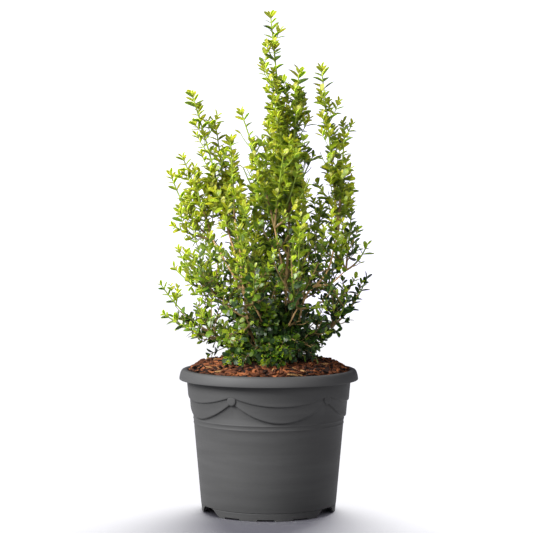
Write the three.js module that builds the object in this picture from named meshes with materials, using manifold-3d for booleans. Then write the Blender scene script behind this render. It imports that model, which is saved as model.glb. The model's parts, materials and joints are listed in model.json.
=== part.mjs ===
// Potted boxwood: a loose, upright evergreen shrub of several stems in a round nursery container.
// Millimetres, +Z up, the front faces -Y. The origin is on the ground, on the container's axis.
// Each mass of leaves grows from the end of its own limb by one seeded rule and keeps to its own space.
import * as THREE from 'three';
import { mergeVertices } from 'three/addons/utils/BufferGeometryUtils.js';
import Module from 'manifold-3d';

const wasm = await Module();
wasm.setup();

// Clear gap kept between two pieces that sit on or in each other
const GAP = 0.3;
const TURN = Math.PI * 2;

// Container: a ten-litre pot with a rolled rim, a draped garland in two layers and a notched foot
const POT_SIDES = 30;
const WALL_FOOT_RADIUS = 104.2;
const WALL_SLOPE = 0.0923;
const WALL_THICKNESS = 2;
const RIM_UNDERSIDE = 205;
const SKIRT = { height: 13.7, inset: 0.8, thickness: 2.6, chamfer: 1, chamferHeight: 4, step: 0.8 };
const FLOOR_UNDERSIDE = 14;
const FLOOR_TOP = 16.4;
const RING_LINES = [139, 146];
const RING_LINE_REACH = 0.9;
const RING_LINE_HALF_HEIGHT = 1.3;

// The rim in section, as radius and height over its underside: up its hollow, round its bottom edge,
// up its outer face, over the rolled top and down inside
const RIM_OUTLINE = [
  [131, 12], [137, 11], [138.2, 0], [140, 0.4], [138.6, 11],
  [135.8, 16.4], [131.8, 18.4], [127.4, 17.4], [124.4, 12.4],
];

// Garland: five swags, each hanging between two knots
const SWAGS = 5;
const FIRST_KNOT_DEG = 45.75;
const LOWER_LAYER = { knot: 180, middle: 149.6, proud: 3 };
const UPPER_LAYER = { knot: 188.4, middle: 174.7, proud: 5.2 };
const LAYER_LIP = 1.6;
const KNOT = { radius: 5.5, taper: 0.7, sides: 6, height: 186, reach: 7.2, length: 8 };

// Foot: deep notches in the skirt, shallow drain slots between them, holes in the floor, a flat boss
const NOTCHES_DEG = [-62.5, 62.5, 180];
const CUT_DEPTH = 30;
const NOTCH = { width: 44, footWidth: 66, height: 13 };
const SLOTS_DEG = [-32.5, -2.5, 27.5, 92.5, 117.5, 145, -145, -117.5, -92.5];
const SLOT = { width: 26, height: 1.3 };
const DRAIN = { count: 5, radius: 8, ring: 76, sides: 8, depth: 12 };
const BOSS = { radius: 20, sides: 12, height: FLOOR_UNDERSIDE + 1 };

// Filling: potting mix up to a hand's width under the rim, and a mounded layer of bark chips on it
const MIX_TOP = 192;
const MULCH_EDGE = 214;
const MULCH_OUTLINE = [[117, 229.5], [104, 233.5], [80, 238], [50, 240]];
const MULCH_SEAT = { radius: 34, height: 236 };
const MULCH_ROUGHNESS = 3.2;
const CHIPS = {
  count: 16, seed: 5, length: [16, 27], width: [9, 14], thickness: [5, 8],
  skew: 5, tilt: 0.5, narrowing: 0.8, ring: [52, 104], height: [240.5, 232.5],
};

// Trunk: a short stool that flares at the bark and forks at once
const TRUNK = {
  foot: [10, 0], lean: [1.5, 0.5], height: 20, steps: 5, sides: 10,
  flareRadius: 20, headRadius: 12.5, rounding: 2.5,
};
const TRUNK_FOOT_HEIGHT = MULCH_SEAT.height + GAP;

// Limbs, from the fork outward: the limb or trunk each one leaves, the points it passes, its radii
const LIMB_SIDES = 5;
const LIMBS = {
  centre: {
    parent: 'trunk', radii: [4.8, 2.9],
    way: [[11, 1, 248], [14, 2, 272], [25, 3, 309], [27, 2, 351], [31, 0, 440]],
  },
  left: {
    parent: 'trunk', radii: [4.1, 2.2],
    way: [[9, -1, 248], [-21, -6, 263], [-33, -8, 304], [-43, -5, 368], [-60, -3, 425]],
  },
  right: {
    parent: 'trunk', radii: [4, 2.2],
    way: [[12, -1, 247], [38, -4, 264], [57, -4, 335], [90, -2, 372], [106, -2, 430]],
  },
  front: {
    parent: 'trunk', radii: [3.6, 2.2],
    way: [[10, -2, 248], [6, -32, 264], [-10, -56, 300], [-20, -64, 320]],
  },
  back: {
    parent: 'trunk', radii: [3.6, 2.2],
    way: [[10, 2, 248], [4, 32, 266], [-10, 52, 300], [-20, 60, 325]],
  },
  left_inner: { parent: 'left', radii: [2.8, 2], way: [[-42, -5, 362], [-44, -16, 400], [-52, -24, 450]] },
  left_shoulder: { parent: 'left', radii: [2.9, 2], way: [[-38, -6, 338], [-62, -10, 380], [-84, -12, 418]] },
  left_flank: { parent: 'left', radii: [2.8, 2], way: [[-32, -8, 300], [-52, -14, 312], [-74, -16, 332]] },
  left_skirt: { parent: 'left', radii: [2.7, 2], way: [[-17, -6, 261], [-40, -20, 260], [-58, -24, 266]] },
  front_right: { parent: 'front', radii: [2.8, 2], way: [[4, -34, 267], [26, -52, 288], [40, -62, 314]] },
  back_right: { parent: 'back', radii: [2.8, 2], way: [[4, 33, 268], [30, 48, 290], [46, 56, 318]] },
  front_upper: { parent: 'centre', radii: [3, 2.1], way: [[27, 2, 345], [20, -30, 385], [10, -50, 436]] },
  back_upper: { parent: 'centre', radii: [3, 2.1], way: [[28, 1, 372], [28, 26, 400], [24, 42, 438]] },
  right_flank: { parent: 'right', radii: [2.7, 2], way: [[72, -3, 352], [96, -12, 356], [114, -16, 372]] },
  right_skirt: { parent: 'right', radii: [2.7, 2], way: [[45, -4, 285], [66, -10, 276], [86, -12, 284]] },
};

// Leaf masses: the limb each one ends, and the furthest tip of each leader that grows from there.
const MASSES = {
  top: { limb: 'centre', seed: 101, tips: [[1, 0, 781], [47, -10, 693], [14, 36, 655]] },
  left_leader: { limb: 'left', seed: 102, tips: [[-122, -8, 656], [-84, 22, 604]] },
  right_leader: { limb: 'right', seed: 103, tips: [[81, -4, 691], [117, -16, 588], [122, 18, 551]] },
  front_upper: { limb: 'front_upper', seed: 104, tips: [[-41, -66, 614], [22, -94, 556], [62, -72, 520]] },
  back_upper: { limb: 'back_upper', seed: 105, tips: [[12, 76, 590], [72, 66, 560], [-42, 78, 540]] },
  left_inner: { limb: 'left_inner', seed: 106, tips: [[-60, -34, 584], [-82, -84, 500]] },
  left_shoulder: {
    limb: 'left_shoulder', seed: 107,
    tips: [[-135, -16, 554], [-152, 8, 520], [-148, -24, 446]],
  },
  left_flank: {
    limb: 'left_flank', seed: 108,
    tips: [[-140, -12, 406], [-150, 22, 380], [-112, -72, 400]],
  },
  left_skirt: {
    limb: 'left_skirt', seed: 109,
    tips: [[-166, 4, 349], [-158, -24, 306], [-104, -88, 310]],
  },
  right_flank: { limb: 'right_flank', seed: 110, tips: [[148, -8, 406], [130, 12, 468], [104, -72, 430]] },
  right_skirt: { limb: 'right_skirt', seed: 111, tips: [[148, 2, 352], [118, -62, 332], [124, 40, 330]] },
  front_left: { limb: 'front', seed: 112, tips: [[-46, -118, 446], [-22, -146, 372], [-62, -130, 322]] },
  front_right: { limb: 'front_right', seed: 113, tips: [[46, -120, 446], [34, -146, 372], [82, -112, 326]] },
  back_left: { limb: 'back', seed: 114, tips: [[-60, 112, 456], [-30, 144, 384], [-104, 92, 370]] },
  back_right: { limb: 'back_right', seed: 115, tips: [[70, 110, 456], [36, 146, 384], [108, 92, 380]] },
};

// Growth rule
const TWIG_SIDES = 3;
const STEM = { length: 8, overlap: 2, swell: 1.3 };
const UPRIGHT_SLOPE = 2;
const UPRIGHT = { out: 0.4, up: 0.5 };
const REACHING = { out: 0.6, up: 0.28 };
const LEADER_STEPS = 4;
const LEADER_TIP_RADIUS = 1.1;
const SIDE_SPACING = 84;
const SIDE_LENGTH = [82, 50];
const SIDE_LENGTH_SPREAD = [0.75, 1.15];
const SIDE_START = { first: 0.55, after: 0.35 };
const SIDE_ANGLE_DEG = 52;
const SIDE_BEND = { middle: 0.55, out: 0.9, up: 0.3 };
const SIDE_RADII = [1.7, 1];
const SIDE_STEPS = 2;
const SIDE_TESTS = [0.4, 0.6, 0.8, 1];
const SIDE_SHORTENING = 0.8;
const SIDE_LIMB_CLEARANCE = 4;
const GOLDEN_ANGLE_DEG = 137.5;
const TURN_SPREAD = 0.5;
const SIDE_TRIES = 4;
const SPACE_STEP = 12;
const SPACE_MARGIN = 1.2;
const TWIG_SPACE_MARGIN = 3.6;

// Leaves: fewer and larger than life, in opposite pairs, each pair turned a quarter from the last
const LEAF = { length: 46, width: 29, thickness: 2.8, widest: 0.56, sunk: 0.2 };
const LEAF_SPACING = 28;
const LEAF_TRIES = [[0, 1], [0.7, 0.9], [-0.7, 0.85], [0.35, 0.7]];
const LEAF_ANGLE_DEG = 54;
const LEAF_FIRST = 0.75;
const LEAF_TURN = 0.35;
const LEAF_SHRINK = 0.84;
const END_LEAF = 0.7;
const END_LEAF_SUNK = 3;
const LEAF_NEAR = 1.2;
const LIMB_CLEARANCE = 1.2;
const LIMB_SAMPLE_STEP = 4;
const LEAF_FLOOR = 243;

// Colours
const COLOURS = { plastic: 0x565656, mix: 0x3a2a1e, bark: 0x7a4429, wood: 0x9a7a4e, leaf: 0x6b9427 };
const ROUGHNESS = { plastic: 0.55, mix: 0.95, bark: 0.9, wood: 0.8, leaf: 0.5 };

// Small vector helpers on plain [x, y, z] triples

// A direction that no shoot follows, from which the turns round a shoot are counted
const ASIDE = [0.31, 0.94, 0.14];
const radians = (degrees) => (degrees * Math.PI) / 180;
// The angle from +X of a direction given in degrees round from the front
const fromFront = (degrees) => radians(degrees - 90);
const mix = (a, b, t) => a + (b - a) * t;
const add = (a, b, k = 1) => [a[0] + b[0] * k, a[1] + b[1] * k, a[2] + b[2] * k];
const subtract = (a, b) => add(a, b, -1);
const cross = (a, b) => [
  a[1] * b[2] - a[2] * b[1],
  a[2] * b[0] - a[0] * b[2],
  a[0] * b[1] - a[1] * b[0],
];
const NOWHERE = [0, 0, 0];
const size = (a) => Math.hypot(a[0], a[1], a[2]);
const unit = (a) => add(NOWHERE, a, 1 / size(a));
const distance = (a, b) => Math.hypot(a[0] - b[0], a[1] - b[1], a[2] - b[2]);

// Repeatable random numbers from 0 to 1
function makeRandom(seed) {
  let state = seed;
  return () => {
    state = (state + 0x6d2b79f5) | 0;
    let t = Math.imul(state ^ (state >>> 15), 1 | state);
    t = (t + Math.imul(t ^ (t >>> 7), 61 | t)) ^ t;
    return ((t ^ (t >>> 14)) >>> 0) / 4294967296;
  };
}

// A closed geometry as a solid for cutting and joining
function toSolid(geometry) {
  const bare = geometry.clone();
  bare.deleteAttribute('normal');
  bare.deleteAttribute('uv');
  const merged = mergeVertices(bare, 1e-4);
  return new wasm.Manifold(new wasm.Mesh({
    numProp: 3,
    vertProperties: Float32Array.from(merged.attributes.position.array),
    triVerts: Uint32Array.from(merged.index.array),
  }));
}

// A solid as a geometry again
function toGeometry(solid) {
  const mesh = solid.getMesh();
  const geometry = new THREE.BufferGeometry();
  geometry.setAttribute('position', new THREE.BufferAttribute(Float32Array.from(mesh.vertProperties), 3));
  geometry.setIndex(new THREE.BufferAttribute(Uint32Array.from(mesh.triVerts), 1));
  geometry.computeVertexNormals();
  return geometry;
}

// Joins many solids two by two, then keeps the largest body, so a sealed hollow fills and a scrap goes
function joinAll(solids) {
  let round = solids;
  while (round.length > 1) {
    const next = [];
    for (let i = 0; i < round.length; i += 2) {
      next.push(i + 1 < round.length ? round[i].add(round[i + 1]) : round[i]);
    }
    round = next;
  }
  const bodies = round[0].decompose();
  return bodies.reduce((best, body) => (body.volume() > best.volume() ? body : best));
}

// Moves every vertex of a geometry by a function of its place
function reshape(geometry, move) {
  const position = geometry.attributes.position;
  for (let i = 0; i < position.count; i += 1) {
    const moved = move([position.getX(i), position.getY(i), position.getZ(i)], i);
    position.setXYZ(i, ...moved);
  }
  return geometry;
}

// Container

const wallRadius = (z) => WALL_FOOT_RADIUS + WALL_SLOPE * z;

// Height of a garland layer's hanging edge at an angle
function hangingEdge(layer, angle) {
  const swagTurn = TURN / SWAGS;
  const along = (((angle - fromFront(FIRST_KNOT_DEG)) / swagTurn) % 1 + 1) % 1;
  const fromMiddle = 2 * along - 1;
  return mix(layer.middle, layer.knot, fromMiddle * fromMiddle);
}

// The container's outline from the axis under its floor round to the axis on its floor. Each point
// gives its radius and height at an angle, because the garland's edges rise and fall round the wall.
function potOutline() {
  const fixed = (radius, height) => () => [radius, height];
  const onWall = (height, reach = 0) => fixed(wallRadius(height) + reach, height);
  const hanging = (layer, reach, up) => (angle) => {
    const height = hangingEdge(layer, angle) + up;
    return [wallRadius(height) + reach, height];
  };
  const skirtInside = wallRadius(0) - SKIRT.inset - SKIRT.thickness;
  const ringLines = RING_LINES.flatMap((height) => [
    onWall(height - RING_LINE_HALF_HEIGHT),
    onWall(height, RING_LINE_REACH),
    onWall(height + RING_LINE_HALF_HEIGHT),
  ]);
  return [
    fixed(0, FLOOR_UNDERSIDE),
    fixed(skirtInside, FLOOR_UNDERSIDE),
    fixed(skirtInside, 0),
    onWall(0, -SKIRT.inset - SKIRT.chamfer),
    onWall(SKIRT.chamferHeight, -SKIRT.inset),
    onWall(SKIRT.height, -SKIRT.inset),
    onWall(SKIRT.height + SKIRT.step),
    ...ringLines,
    hanging(LOWER_LAYER, 0, 0),
    hanging(LOWER_LAYER, LOWER_LAYER.proud, LAYER_LIP),
    hanging(UPPER_LAYER, LOWER_LAYER.proud, 0),
    hanging(UPPER_LAYER, UPPER_LAYER.proud, LAYER_LIP),
    onWall(RIM_UNDERSIDE, UPPER_LAYER.proud),
    ...RIM_OUTLINE.map(([radius, up]) => fixed(radius, RIM_UNDERSIDE + up)),
    onWall(RIM_UNDERSIDE, -WALL_THICKNESS),
    onWall(FLOOR_TOP, -WALL_THICKNESS),
    fixed(0, FLOOR_TOP),
  ];
}

// Turns an outline of such points round the axis as one closed body
function turnedBody(outline) {
  const start = fromFront(FIRST_KNOT_DEG);
  const flat = outline.map((point) => new THREE.Vector2(...point(start)));
  const geometry = new THREE.LatheGeometry(flat, POT_SIDES);
  return reshape(geometry, (_, i) => {
    const angle = start + (Math.floor(i / outline.length) / POT_SIDES) * TURN;
    const [radius, height] = outline[i % outline.length](angle);
    return [radius * Math.cos(angle), radius * Math.sin(angle), height];
  });
}

// A body standing at an angle of the foot, measured from the front
function atFoot(geometry, degreesFromFront, radius, height) {
  const angle = fromFront(degreesFromFront);
  geometry.rotateZ(angle);
  geometry.translate(radius * Math.cos(angle), radius * Math.sin(angle), height);
  return geometry;
}

// Cutter for a deep notch: wider at the ground than at its top
function notchCutter(degreesFromFront) {
  const widen = NOTCH.footWidth / NOTCH.width;
  const block = new THREE.BoxGeometry(CUT_DEPTH, NOTCH.width, NOTCH.height);
  reshape(block, ([x, y, z]) => (z < 0 ? [x, y * widen, z - 1] : [x, y, z]));
  return atFoot(block, degreesFromFront, WALL_FOOT_RADIUS, NOTCH.height / 2);
}

// Cutter for a shallow drain slot under the skirt
function slotCutter(degreesFromFront) {
  const block = new THREE.BoxGeometry(CUT_DEPTH, SLOT.width, SLOT.height * 2);
  return atFoot(block, degreesFromFront, WALL_FOOT_RADIUS, 0);
}

// Cutter for one drain hole in the floor
function drainCutter(index) {
  const hole = new THREE.CylinderGeometry(DRAIN.radius, DRAIN.radius, DRAIN.depth, DRAIN.sides);
  hole.rotateX(Math.PI / 2);
  return atFoot(hole, (index * 360) / DRAIN.count, DRAIN.ring, FLOOR_UNDERSIDE);
}

// Knot between two swags: a small button that stands off the garland
function garlandKnot(index) {
  const angle = fromFront(FIRST_KNOT_DEG) + (index * TURN) / SWAGS;
  const button = new THREE.CylinderGeometry(KNOT.radius * KNOT.taper, KNOT.radius, KNOT.length, KNOT.sides);
  button.rotateZ(-Math.PI / 2);
  button.translate(wallRadius(KNOT.height) + KNOT.reach - KNOT.length / 2, 0, KNOT.height);
  button.rotateZ(angle);
  return button;
}

function buildPot() {
  let pot = toSolid(turnedBody(potOutline()));
  const boss = new THREE.CylinderGeometry(BOSS.radius, BOSS.radius, BOSS.height, BOSS.sides);
  boss.rotateX(Math.PI / 2);
  boss.translate(0, 0, BOSS.height / 2);
  pot = pot.add(toSolid(boss));
  for (let i = 0; i < SWAGS; i += 1) {
    pot = pot.add(toSolid(garlandKnot(i)));
  }
  for (const degrees of NOTCHES_DEG) {
    pot = pot.subtract(toSolid(notchCutter(degrees)));
  }
  for (const degrees of SLOTS_DEG) {
    pot = pot.subtract(toSolid(slotCutter(degrees)));
  }
  for (let i = 0; i < DRAIN.count; i += 1) {
    pot = pot.subtract(toSolid(drainCutter(i)));
  }
  return pot;
}

// Filling

// Radius just clear of the container's inside at a height
const fillRadius = (z) => wallRadius(z) - WALL_THICKNESS - GAP;

function buildMix() {
  const bottom = FLOOR_TOP + GAP;
  const outline = [[0, bottom], [fillRadius(bottom), bottom], [fillRadius(MIX_TOP), MIX_TOP], [0, MIX_TOP]];
  return toSolid(turnedBody(outline.map((point) => () => point)));
}

// One bark chip: a flat block with a skewed end, lying on the mulch
function barkChip(random) {
  const sizes = [CHIPS.length, CHIPS.width, CHIPS.thickness].map((range) => mix(...range, random()));
  const chip = new THREE.BoxGeometry(...sizes);
  const skew = CHIPS.skew * (random() - 0.5);
  reshape(chip, ([x, y, z]) => [x + Math.sign(y) * skew, y * (x > 0 ? CHIPS.narrowing : 1), z]);
  chip.rotateY(CHIPS.tilt * (random() - 0.5));
  chip.rotateX(CHIPS.tilt * (random() - 0.5));
  chip.rotateZ(random() * TURN);
  return chip;
}

function buildMulch() {
  const random = makeRandom(CHIPS.seed);
  const bottom = MIX_TOP + GAP;
  const fixed = [[0, bottom], [fillRadius(bottom), bottom], [fillRadius(MULCH_EDGE), MULCH_EDGE]];
  const rough = MULCH_OUTLINE.map(([radius, height]) => () => [
    radius,
    height + MULCH_ROUGHNESS * (random() - 0.5),
  ]);
  const seat = [[MULCH_SEAT.radius, MULCH_SEAT.height], [0, MULCH_SEAT.height]];
  const outline = [
    ...fixed.map((point) => () => point),
    ...rough,
    ...seat.map((point) => () => point),
  ];
  const bodies = [toSolid(closeTurn(turnedBody(outline), outline.length))];
  for (let i = 0; i < CHIPS.count; i += 1) {
    const angle = i * radians(GOLDEN_ANGLE_DEG);
    const share = Math.sqrt((i + 0.5) / CHIPS.count);
    const radius = mix(...CHIPS.ring, share);
    const chip = barkChip(random);
    chip.translate(radius * Math.cos(angle), radius * Math.sin(angle), mix(...CHIPS.height, share * share));
    bodies.push(toSolid(chip));
  }
  return joinAll(bodies);
}

// Makes the last row of a turned body repeat its first, where its points were moved at random
function closeTurn(geometry, rowLength) {
  const position = geometry.attributes.position;
  for (let j = 0; j < rowLength; j += 1) {
    const last = POT_SIDES * rowLength + j;
    position.setXYZ(last, position.getX(j), position.getY(j), position.getZ(j));
  }
  return geometry;
}

// Stems

// A smooth curve through points, and a curve bent by one control point
const vectors = (points) => points.map((point) => new THREE.Vector3(...point));
const through = (points) => new THREE.CatmullRomCurve3(vectors(points), false, 'catmullrom');
const bent = (...points) => new THREE.QuadraticBezierCurve3(...vectors(points));

// How much a many-sided tube's corners move out so that its flat sides move out by a clearance
const fatten = (clearance, sides) => clearance / Math.cos(Math.PI / sides);

// A closed tapering tube along a curve. radiusAt gives its radius at a share of its length.
function taperedTube(curve, radiusAt, sides, steps) {
  const tube = new THREE.CylinderGeometry(1, 1, 1, sides, steps);
  return reshape(tube, ([x, y, z]) => {
    const share = y + 0.5;
    const centre = curve.getPoint(share).toArray();
    const { across, other } = nodeFrame(curve, share);
    const radius = radiusAt(share);
    return add(add(centre, across, x * radius), other, z * radius);
  });
}

// The trunk: level cuts at its foot and fork, a flare at the bark, and a slight lean
function trunkSolid(clearance) {
  const flare = TRUNK.flareRadius - TRUNK.headRadius;
  const outline = [[0, -clearance]];
  for (let i = 0; i <= TRUNK.steps; i += 1) {
    const share = i / TRUNK.steps;
    const radius = TRUNK.headRadius + flare * (1 - share) ** 3 - TRUNK.rounding * share ** 6;
    const height = share === 0 ? -clearance : share * TRUNK.height + (share === 1 ? clearance : 0);
    outline.push([radius + fatten(clearance, TRUNK.sides), height]);
  }
  outline.push([0, TRUNK.height + clearance]);
  const body = new THREE.LatheGeometry(outline.map((point) => new THREE.Vector2(...point)), TRUNK.sides);
  return toSolid(reshape(body, ([x, y, z]) => {
    const share = y / TRUNK.height;
    const [leanX, leanY] = TRUNK.lean;
    return [TRUNK.foot[0] + leanX * share + z, TRUNK.foot[1] + leanY * share + x, TRUNK_FOOT_HEIGHT + y];
  }));
}

// A limb's curve, its radius at a share of its length, and its solid, fattened by a clearance
const limbCurve = (limb) => through(limb.way);
const limbRadius = (limb, share) => mix(limb.radii[0], limb.radii[1], share);

function limbSolid(limb, clearance) {
  const radiusAt = (share) => limbRadius(limb, share) + fatten(clearance, LIMB_SIDES);
  return toSolid(taperedTube(limbCurve(limb), radiusAt, LIMB_SIDES, limb.way.length + 1));
}

// A limb cut clear of the one that it leaves
function buildLimb(limb) {
  const parent = limb.parent === 'trunk' ? trunkSolid(GAP) : limbSolid(LIMBS[limb.parent], GAP);
  return joinAll([limbSolid(limb, 0).subtract(parent)]);
}

// Growth of a mass

// Points and radii along every limb, which leaves and twigs keep clear of
const LIMB_SAMPLES = Object.entries(LIMBS).flatMap(([name, limb]) => {
  const curve = limbCurve(limb);
  const count = Math.ceil(curve.getLength() / LIMB_SAMPLE_STEP);
  return Array.from({ length: count + 1 }, (_, i) => ({
    name,
    point: curve.getPoint(i / count).toArray(),
    radius: limbRadius(limb, i / count),
  }));
});

// A point past a limb's end, in line with it
function beyondLimb(name, reach) {
  const { way } = LIMBS[name];
  return add(way.at(-1), unit(subtract(way.at(-1), way.at(-2))), reach);
}

// Where a mass's leaders part: the top of its short stem
const stemTop = (name) => beyondLimb(name, STEM.length);

// A leader's curve: a steep one rises evenly, any other reaches outward first
function leaderCurve(start, tip) {
  const way = subtract(tip, start);
  const { out, up } = way[2] > UPRIGHT_SLOPE * Math.hypot(way[0], way[1]) ? UPRIGHT : REACHING;
  const bend = add(start, [way[0] * out, way[1] * out, way[2] * up]);
  return bent(start, bend, tip);
}

// Points along each mass's leaders: a place belongs to the mass whose point is nearest
const SPACES = Object.entries(MASSES).map(([name, mass]) => {
  const points = mass.tips.flatMap((tip) => {
    const curve = leaderCurve(stemTop(mass.limb), tip);
    const count = Math.ceil(curve.getLength() / SPACE_STEP);
    return Array.from({ length: count + 1 }, (_, i) => curve.getPoint(i / count).toArray());
  });
  return { name, points };
});

// True where a place is nearer to its own mass than to any other, by a margin
function inOwnSpace(name, place, margin) {
  let own = Infinity;
  let other = Infinity;
  for (const space of SPACES) {
    for (const point of space.points) {
      const away = distance(point, place);
      if (space.name === name) {
        own = Math.min(own, away);
      } else {
        other = Math.min(other, away);
      }
    }
  }
  return own + margin < other;
}

// True where a place is clear of every limb
const clearOfLimbs = (place, clearance) =>
  LIMB_SAMPLES.every(({ point, radius }) => distance(point, place) > radius + clearance);

// At a share of a curve: its heading, and the way out from it at any turn round it
function nodeFrame(curve, share) {
  const tangent = curve.getTangent(share).toArray();
  const across = unit(cross(tangent, ASIDE));
  const other = cross(across, tangent);
  const outAt = (turn) => add(add(NOWHERE, across, Math.cos(turn)), other, Math.sin(turn));
  return { tangent, across, other, outAt };
}

// A side shoot leaves its leader at a slant and turns upward. It is shortened until it fits its space.
function sideShoot(name, leader, share, turn, length) {
  const start = leader.getPoint(share).toArray();
  const { tangent, outAt } = nodeFrame(leader, share);
  const slant = radians(SIDE_ANGLE_DEG);
  const heading = add(add(NOWHERE, tangent, Math.cos(slant)), outAt(turn), Math.sin(slant));
  for (let i = 0, reach = length; i < SIDE_TRIES; i += 1, reach *= SIDE_SHORTENING) {
    const bend = add(start, heading, reach * SIDE_BEND.middle);
    const end = add(add(start, heading, reach * SIDE_BEND.out), [0, 0, 1], reach * SIDE_BEND.up);
    const curve = bent(start, bend, end);
    const fits = SIDE_TESTS.every((t) => {
      const place = curve.getPoint(t).toArray();
      const clear = clearOfLimbs(place, SIDE_LIMB_CLEARANCE) && place[2] > LEAF_FLOOR;
      return clear && inOwnSpace(name, place, TWIG_SPACE_MARGIN);
    });
    if (fits) {
      return curve;
    }
  }
  return null;
}

// A shoot with the share of its length that is wood, up to the root of its last leaf
function shootOn(curve, radii, steps) {
  const length = curve.getLength();
  const endSpeed = 2 * curve.v1.distanceTo(curve.v2);
  return { curve, length, radii, steps, woody: 1 - (LEAF.length * END_LEAF - END_LEAF_SUNK) / endSpeed };
}

// Every shoot of a mass: its leaders, and side shoots spaced along them by the golden angle
function growShoots(name, mass) {
  const random = makeRandom(mass.seed);
  const shoots = [];
  mass.tips.forEach((tip, index) => {
    const curve = leaderCurve(stemTop(mass.limb), tip);
    const leader = shootOn(curve, [limbRadius(LIMBS[mass.limb], 1), LEADER_TIP_RADIUS], LEADER_STEPS);
    shoots.push(leader);
    const count = Math.floor(leader.length / SIDE_SPACING);
    for (let i = 0; i < count; i += 1) {
      const share = (i + SIDE_START.first) / (count + SIDE_START.after);
      const turn = radians(GOLDEN_ANGLE_DEG) * (i + 3 * index) + TURN_SPREAD * random();
      const reach = mix(...SIDE_LENGTH, share) * mix(...SIDE_LENGTH_SPREAD, random());
      const side = sideShoot(name, curve, share, turn, reach);
      if (side) {
        shoots.push(shootOn(side, SIDE_RADII, SIDE_STEPS));
      }
    }
  });
  return shoots;
}

// A leaf at a place: its root, the way it points, its upper side's normal, and its length.
// It is flat below and ridged above, so three faces meet at its root and three at its tip.
function leafGeometry(root, along, up, length) {
  const across = cross(up, along);
  const half = (LEAF.width * length) / LEAF.length / 2;
  const leaf = new THREE.SphereGeometry(1, 3, 2);
  return reshape(leaf, ([x, y, z]) => {
    const atEnd = Math.abs(y) > 0.5;
    const reach = y < -0.5 ? -LEAF.sunk : (atEnd ? 1 : LEAF.widest) * length;
    const side = atEnd ? 0 : -Math.sign(Math.round(z)) * half;
    const lift = !atEnd && x < 0 ? LEAF.thickness : 0;
    return add(add(add(root, along, reach), across, side), up, lift);
  });
}

// Corners and edge middles of a leaf, where its clearances are tested
function leafPlaces(root, along, up, length) {
  const across = cross(up, along);
  const half = (LEAF.width * length) / LEAF.length / 2;
  const at = (share, side) => add(add(root, along, share * length), across, side * half);
  return [
    at(1, 0), at(0.5, 0), at(LEAF.widest, 1), at(LEAF.widest, -1),
    at(0.78, 0.5), at(0.78, -0.5), at(0.3, 0.5), at(0.3, -0.5),
  ];
}

// Tries a leaf, and keeps it if it stays in its space, clear of limbs, other twigs and other leaves
function placeLeaf(name, stand, along, up, length, kept) {
  const places = leafPlaces(stand.root, along, up, length);
  const fits = places.every((place) =>
    inOwnSpace(name, place, SPACE_MARGIN) && clearOfLimbs(place, LIMB_CLEARANCE) && place[2] > LEAF_FLOOR);
  if (!fits) {
    return false;
  }
  const solid = toSolid(leafGeometry(stand.root, along, up, length));
  const meets = (body) => !solid.intersect(body).isEmpty();
  const touchesTwig = kept.twigs.some((twig, index) => index !== stand.shoot && meets(twig));
  const touchesLeaf = kept.leaves.some((leaf) =>
    leaf.stand !== stand && distance(leaf.middle, places[1]) < LEAF_NEAR * LEAF.length && meets(leaf.solid));
  if (touchesTwig || touchesLeaf) {
    return false;
  }
  kept.leaves.push({ stand, middle: places[1], solid });
  return true;
}

// The last leaf of a shoot, in line with it, whose tip is the shoot's furthest reach
function endLeaf(name, shoot, order, kept) {
  const { curve, woody } = shoot;
  const tangent = curve.getTangent(woody).toArray();
  const stand = { root: add(curve.getPoint(woody).toArray(), tangent, -END_LEAF_SUNK), shoot: order };
  placeLeaf(name, stand, tangent, unit(cross(tangent, ASIDE)), LEAF.length * END_LEAF, kept);
}

// Leaves in opposite pairs along a shoot
function leafPairs(name, shoot, order, kept) {
  const { curve, length, woody } = shoot;
  const count = Math.max(1, Math.round((woody * length) / LEAF_SPACING));
  for (let i = 0; i < count; i += 1) {
    const share = ((i + LEAF_FIRST) * woody) / count;
    const stand = { root: curve.getPoint(share).toArray(), shoot: order };
    const { tangent, outAt } = nodeFrame(curve, share);
    for (const side of [0, 1]) {
      const firstTurn = (i + order) * radians(90) + side * Math.PI + LEAF_TURN;
      LEAF_TRIES.some(([turnMore, scale]) => {
        const out = outAt(firstTurn + turnMore);
        const slant = radians(LEAF_ANGLE_DEG);
        const along = add(add(NOWHERE, tangent, Math.cos(slant)), out, Math.sin(slant));
        const up = add(add(NOWHERE, tangent, Math.sin(slant)), out, -Math.cos(slant));
        return placeLeaf(name, stand, along, up, LEAF.length * mix(1, LEAF_SHRINK, share) * scale, kept);
      });
    }
  }
}

// The woody part of a shoot as a solid
function twigSolid({ curve, radii, steps, woody }) {
  const part = {
    getPoint: (t) => curve.getPoint(t * woody),
    getTangent: (t) => curve.getTangent(t * woody),
  };
  return toSolid(taperedTube(part, (t) => mix(...radii, t), TWIG_SIDES, steps));
}

// The one stem of a mass, which stands just clear of its limb's end
function stemSolid(limbName) {
  const radius = limbRadius(LIMBS[limbName], 1) * STEM.swell;
  const ends = [beyondLimb(limbName, GAP), beyondLimb(limbName, STEM.length + STEM.overlap)];
  return toSolid(taperedTube(through(ends), () => radius, TWIG_SIDES, 1));
}

function buildMass(name, mass) {
  const shoots = growShoots(name, mass);
  const kept = { twigs: shoots.map(twigSolid), leaves: [] };
  shoots.forEach((shoot, order) => endLeaf(name, shoot, order, kept));
  shoots.forEach((shoot, order) => leafPairs(name, shoot, order, kept));
  return joinAll([stemSolid(mass.limb), ...kept.twigs, ...kept.leaves.map((leaf) => leaf.solid)]);
}

// Assembly

function named(name, solid, finish) {
  const material = new THREE.MeshStandardMaterial({
    color: COLOURS[finish],
    roughness: ROUGHNESS[finish],
    metalness: 0,
  });
  const mesh = new THREE.Mesh(toGeometry(solid), material);
  mesh.name = name;
  return mesh;
}

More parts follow.
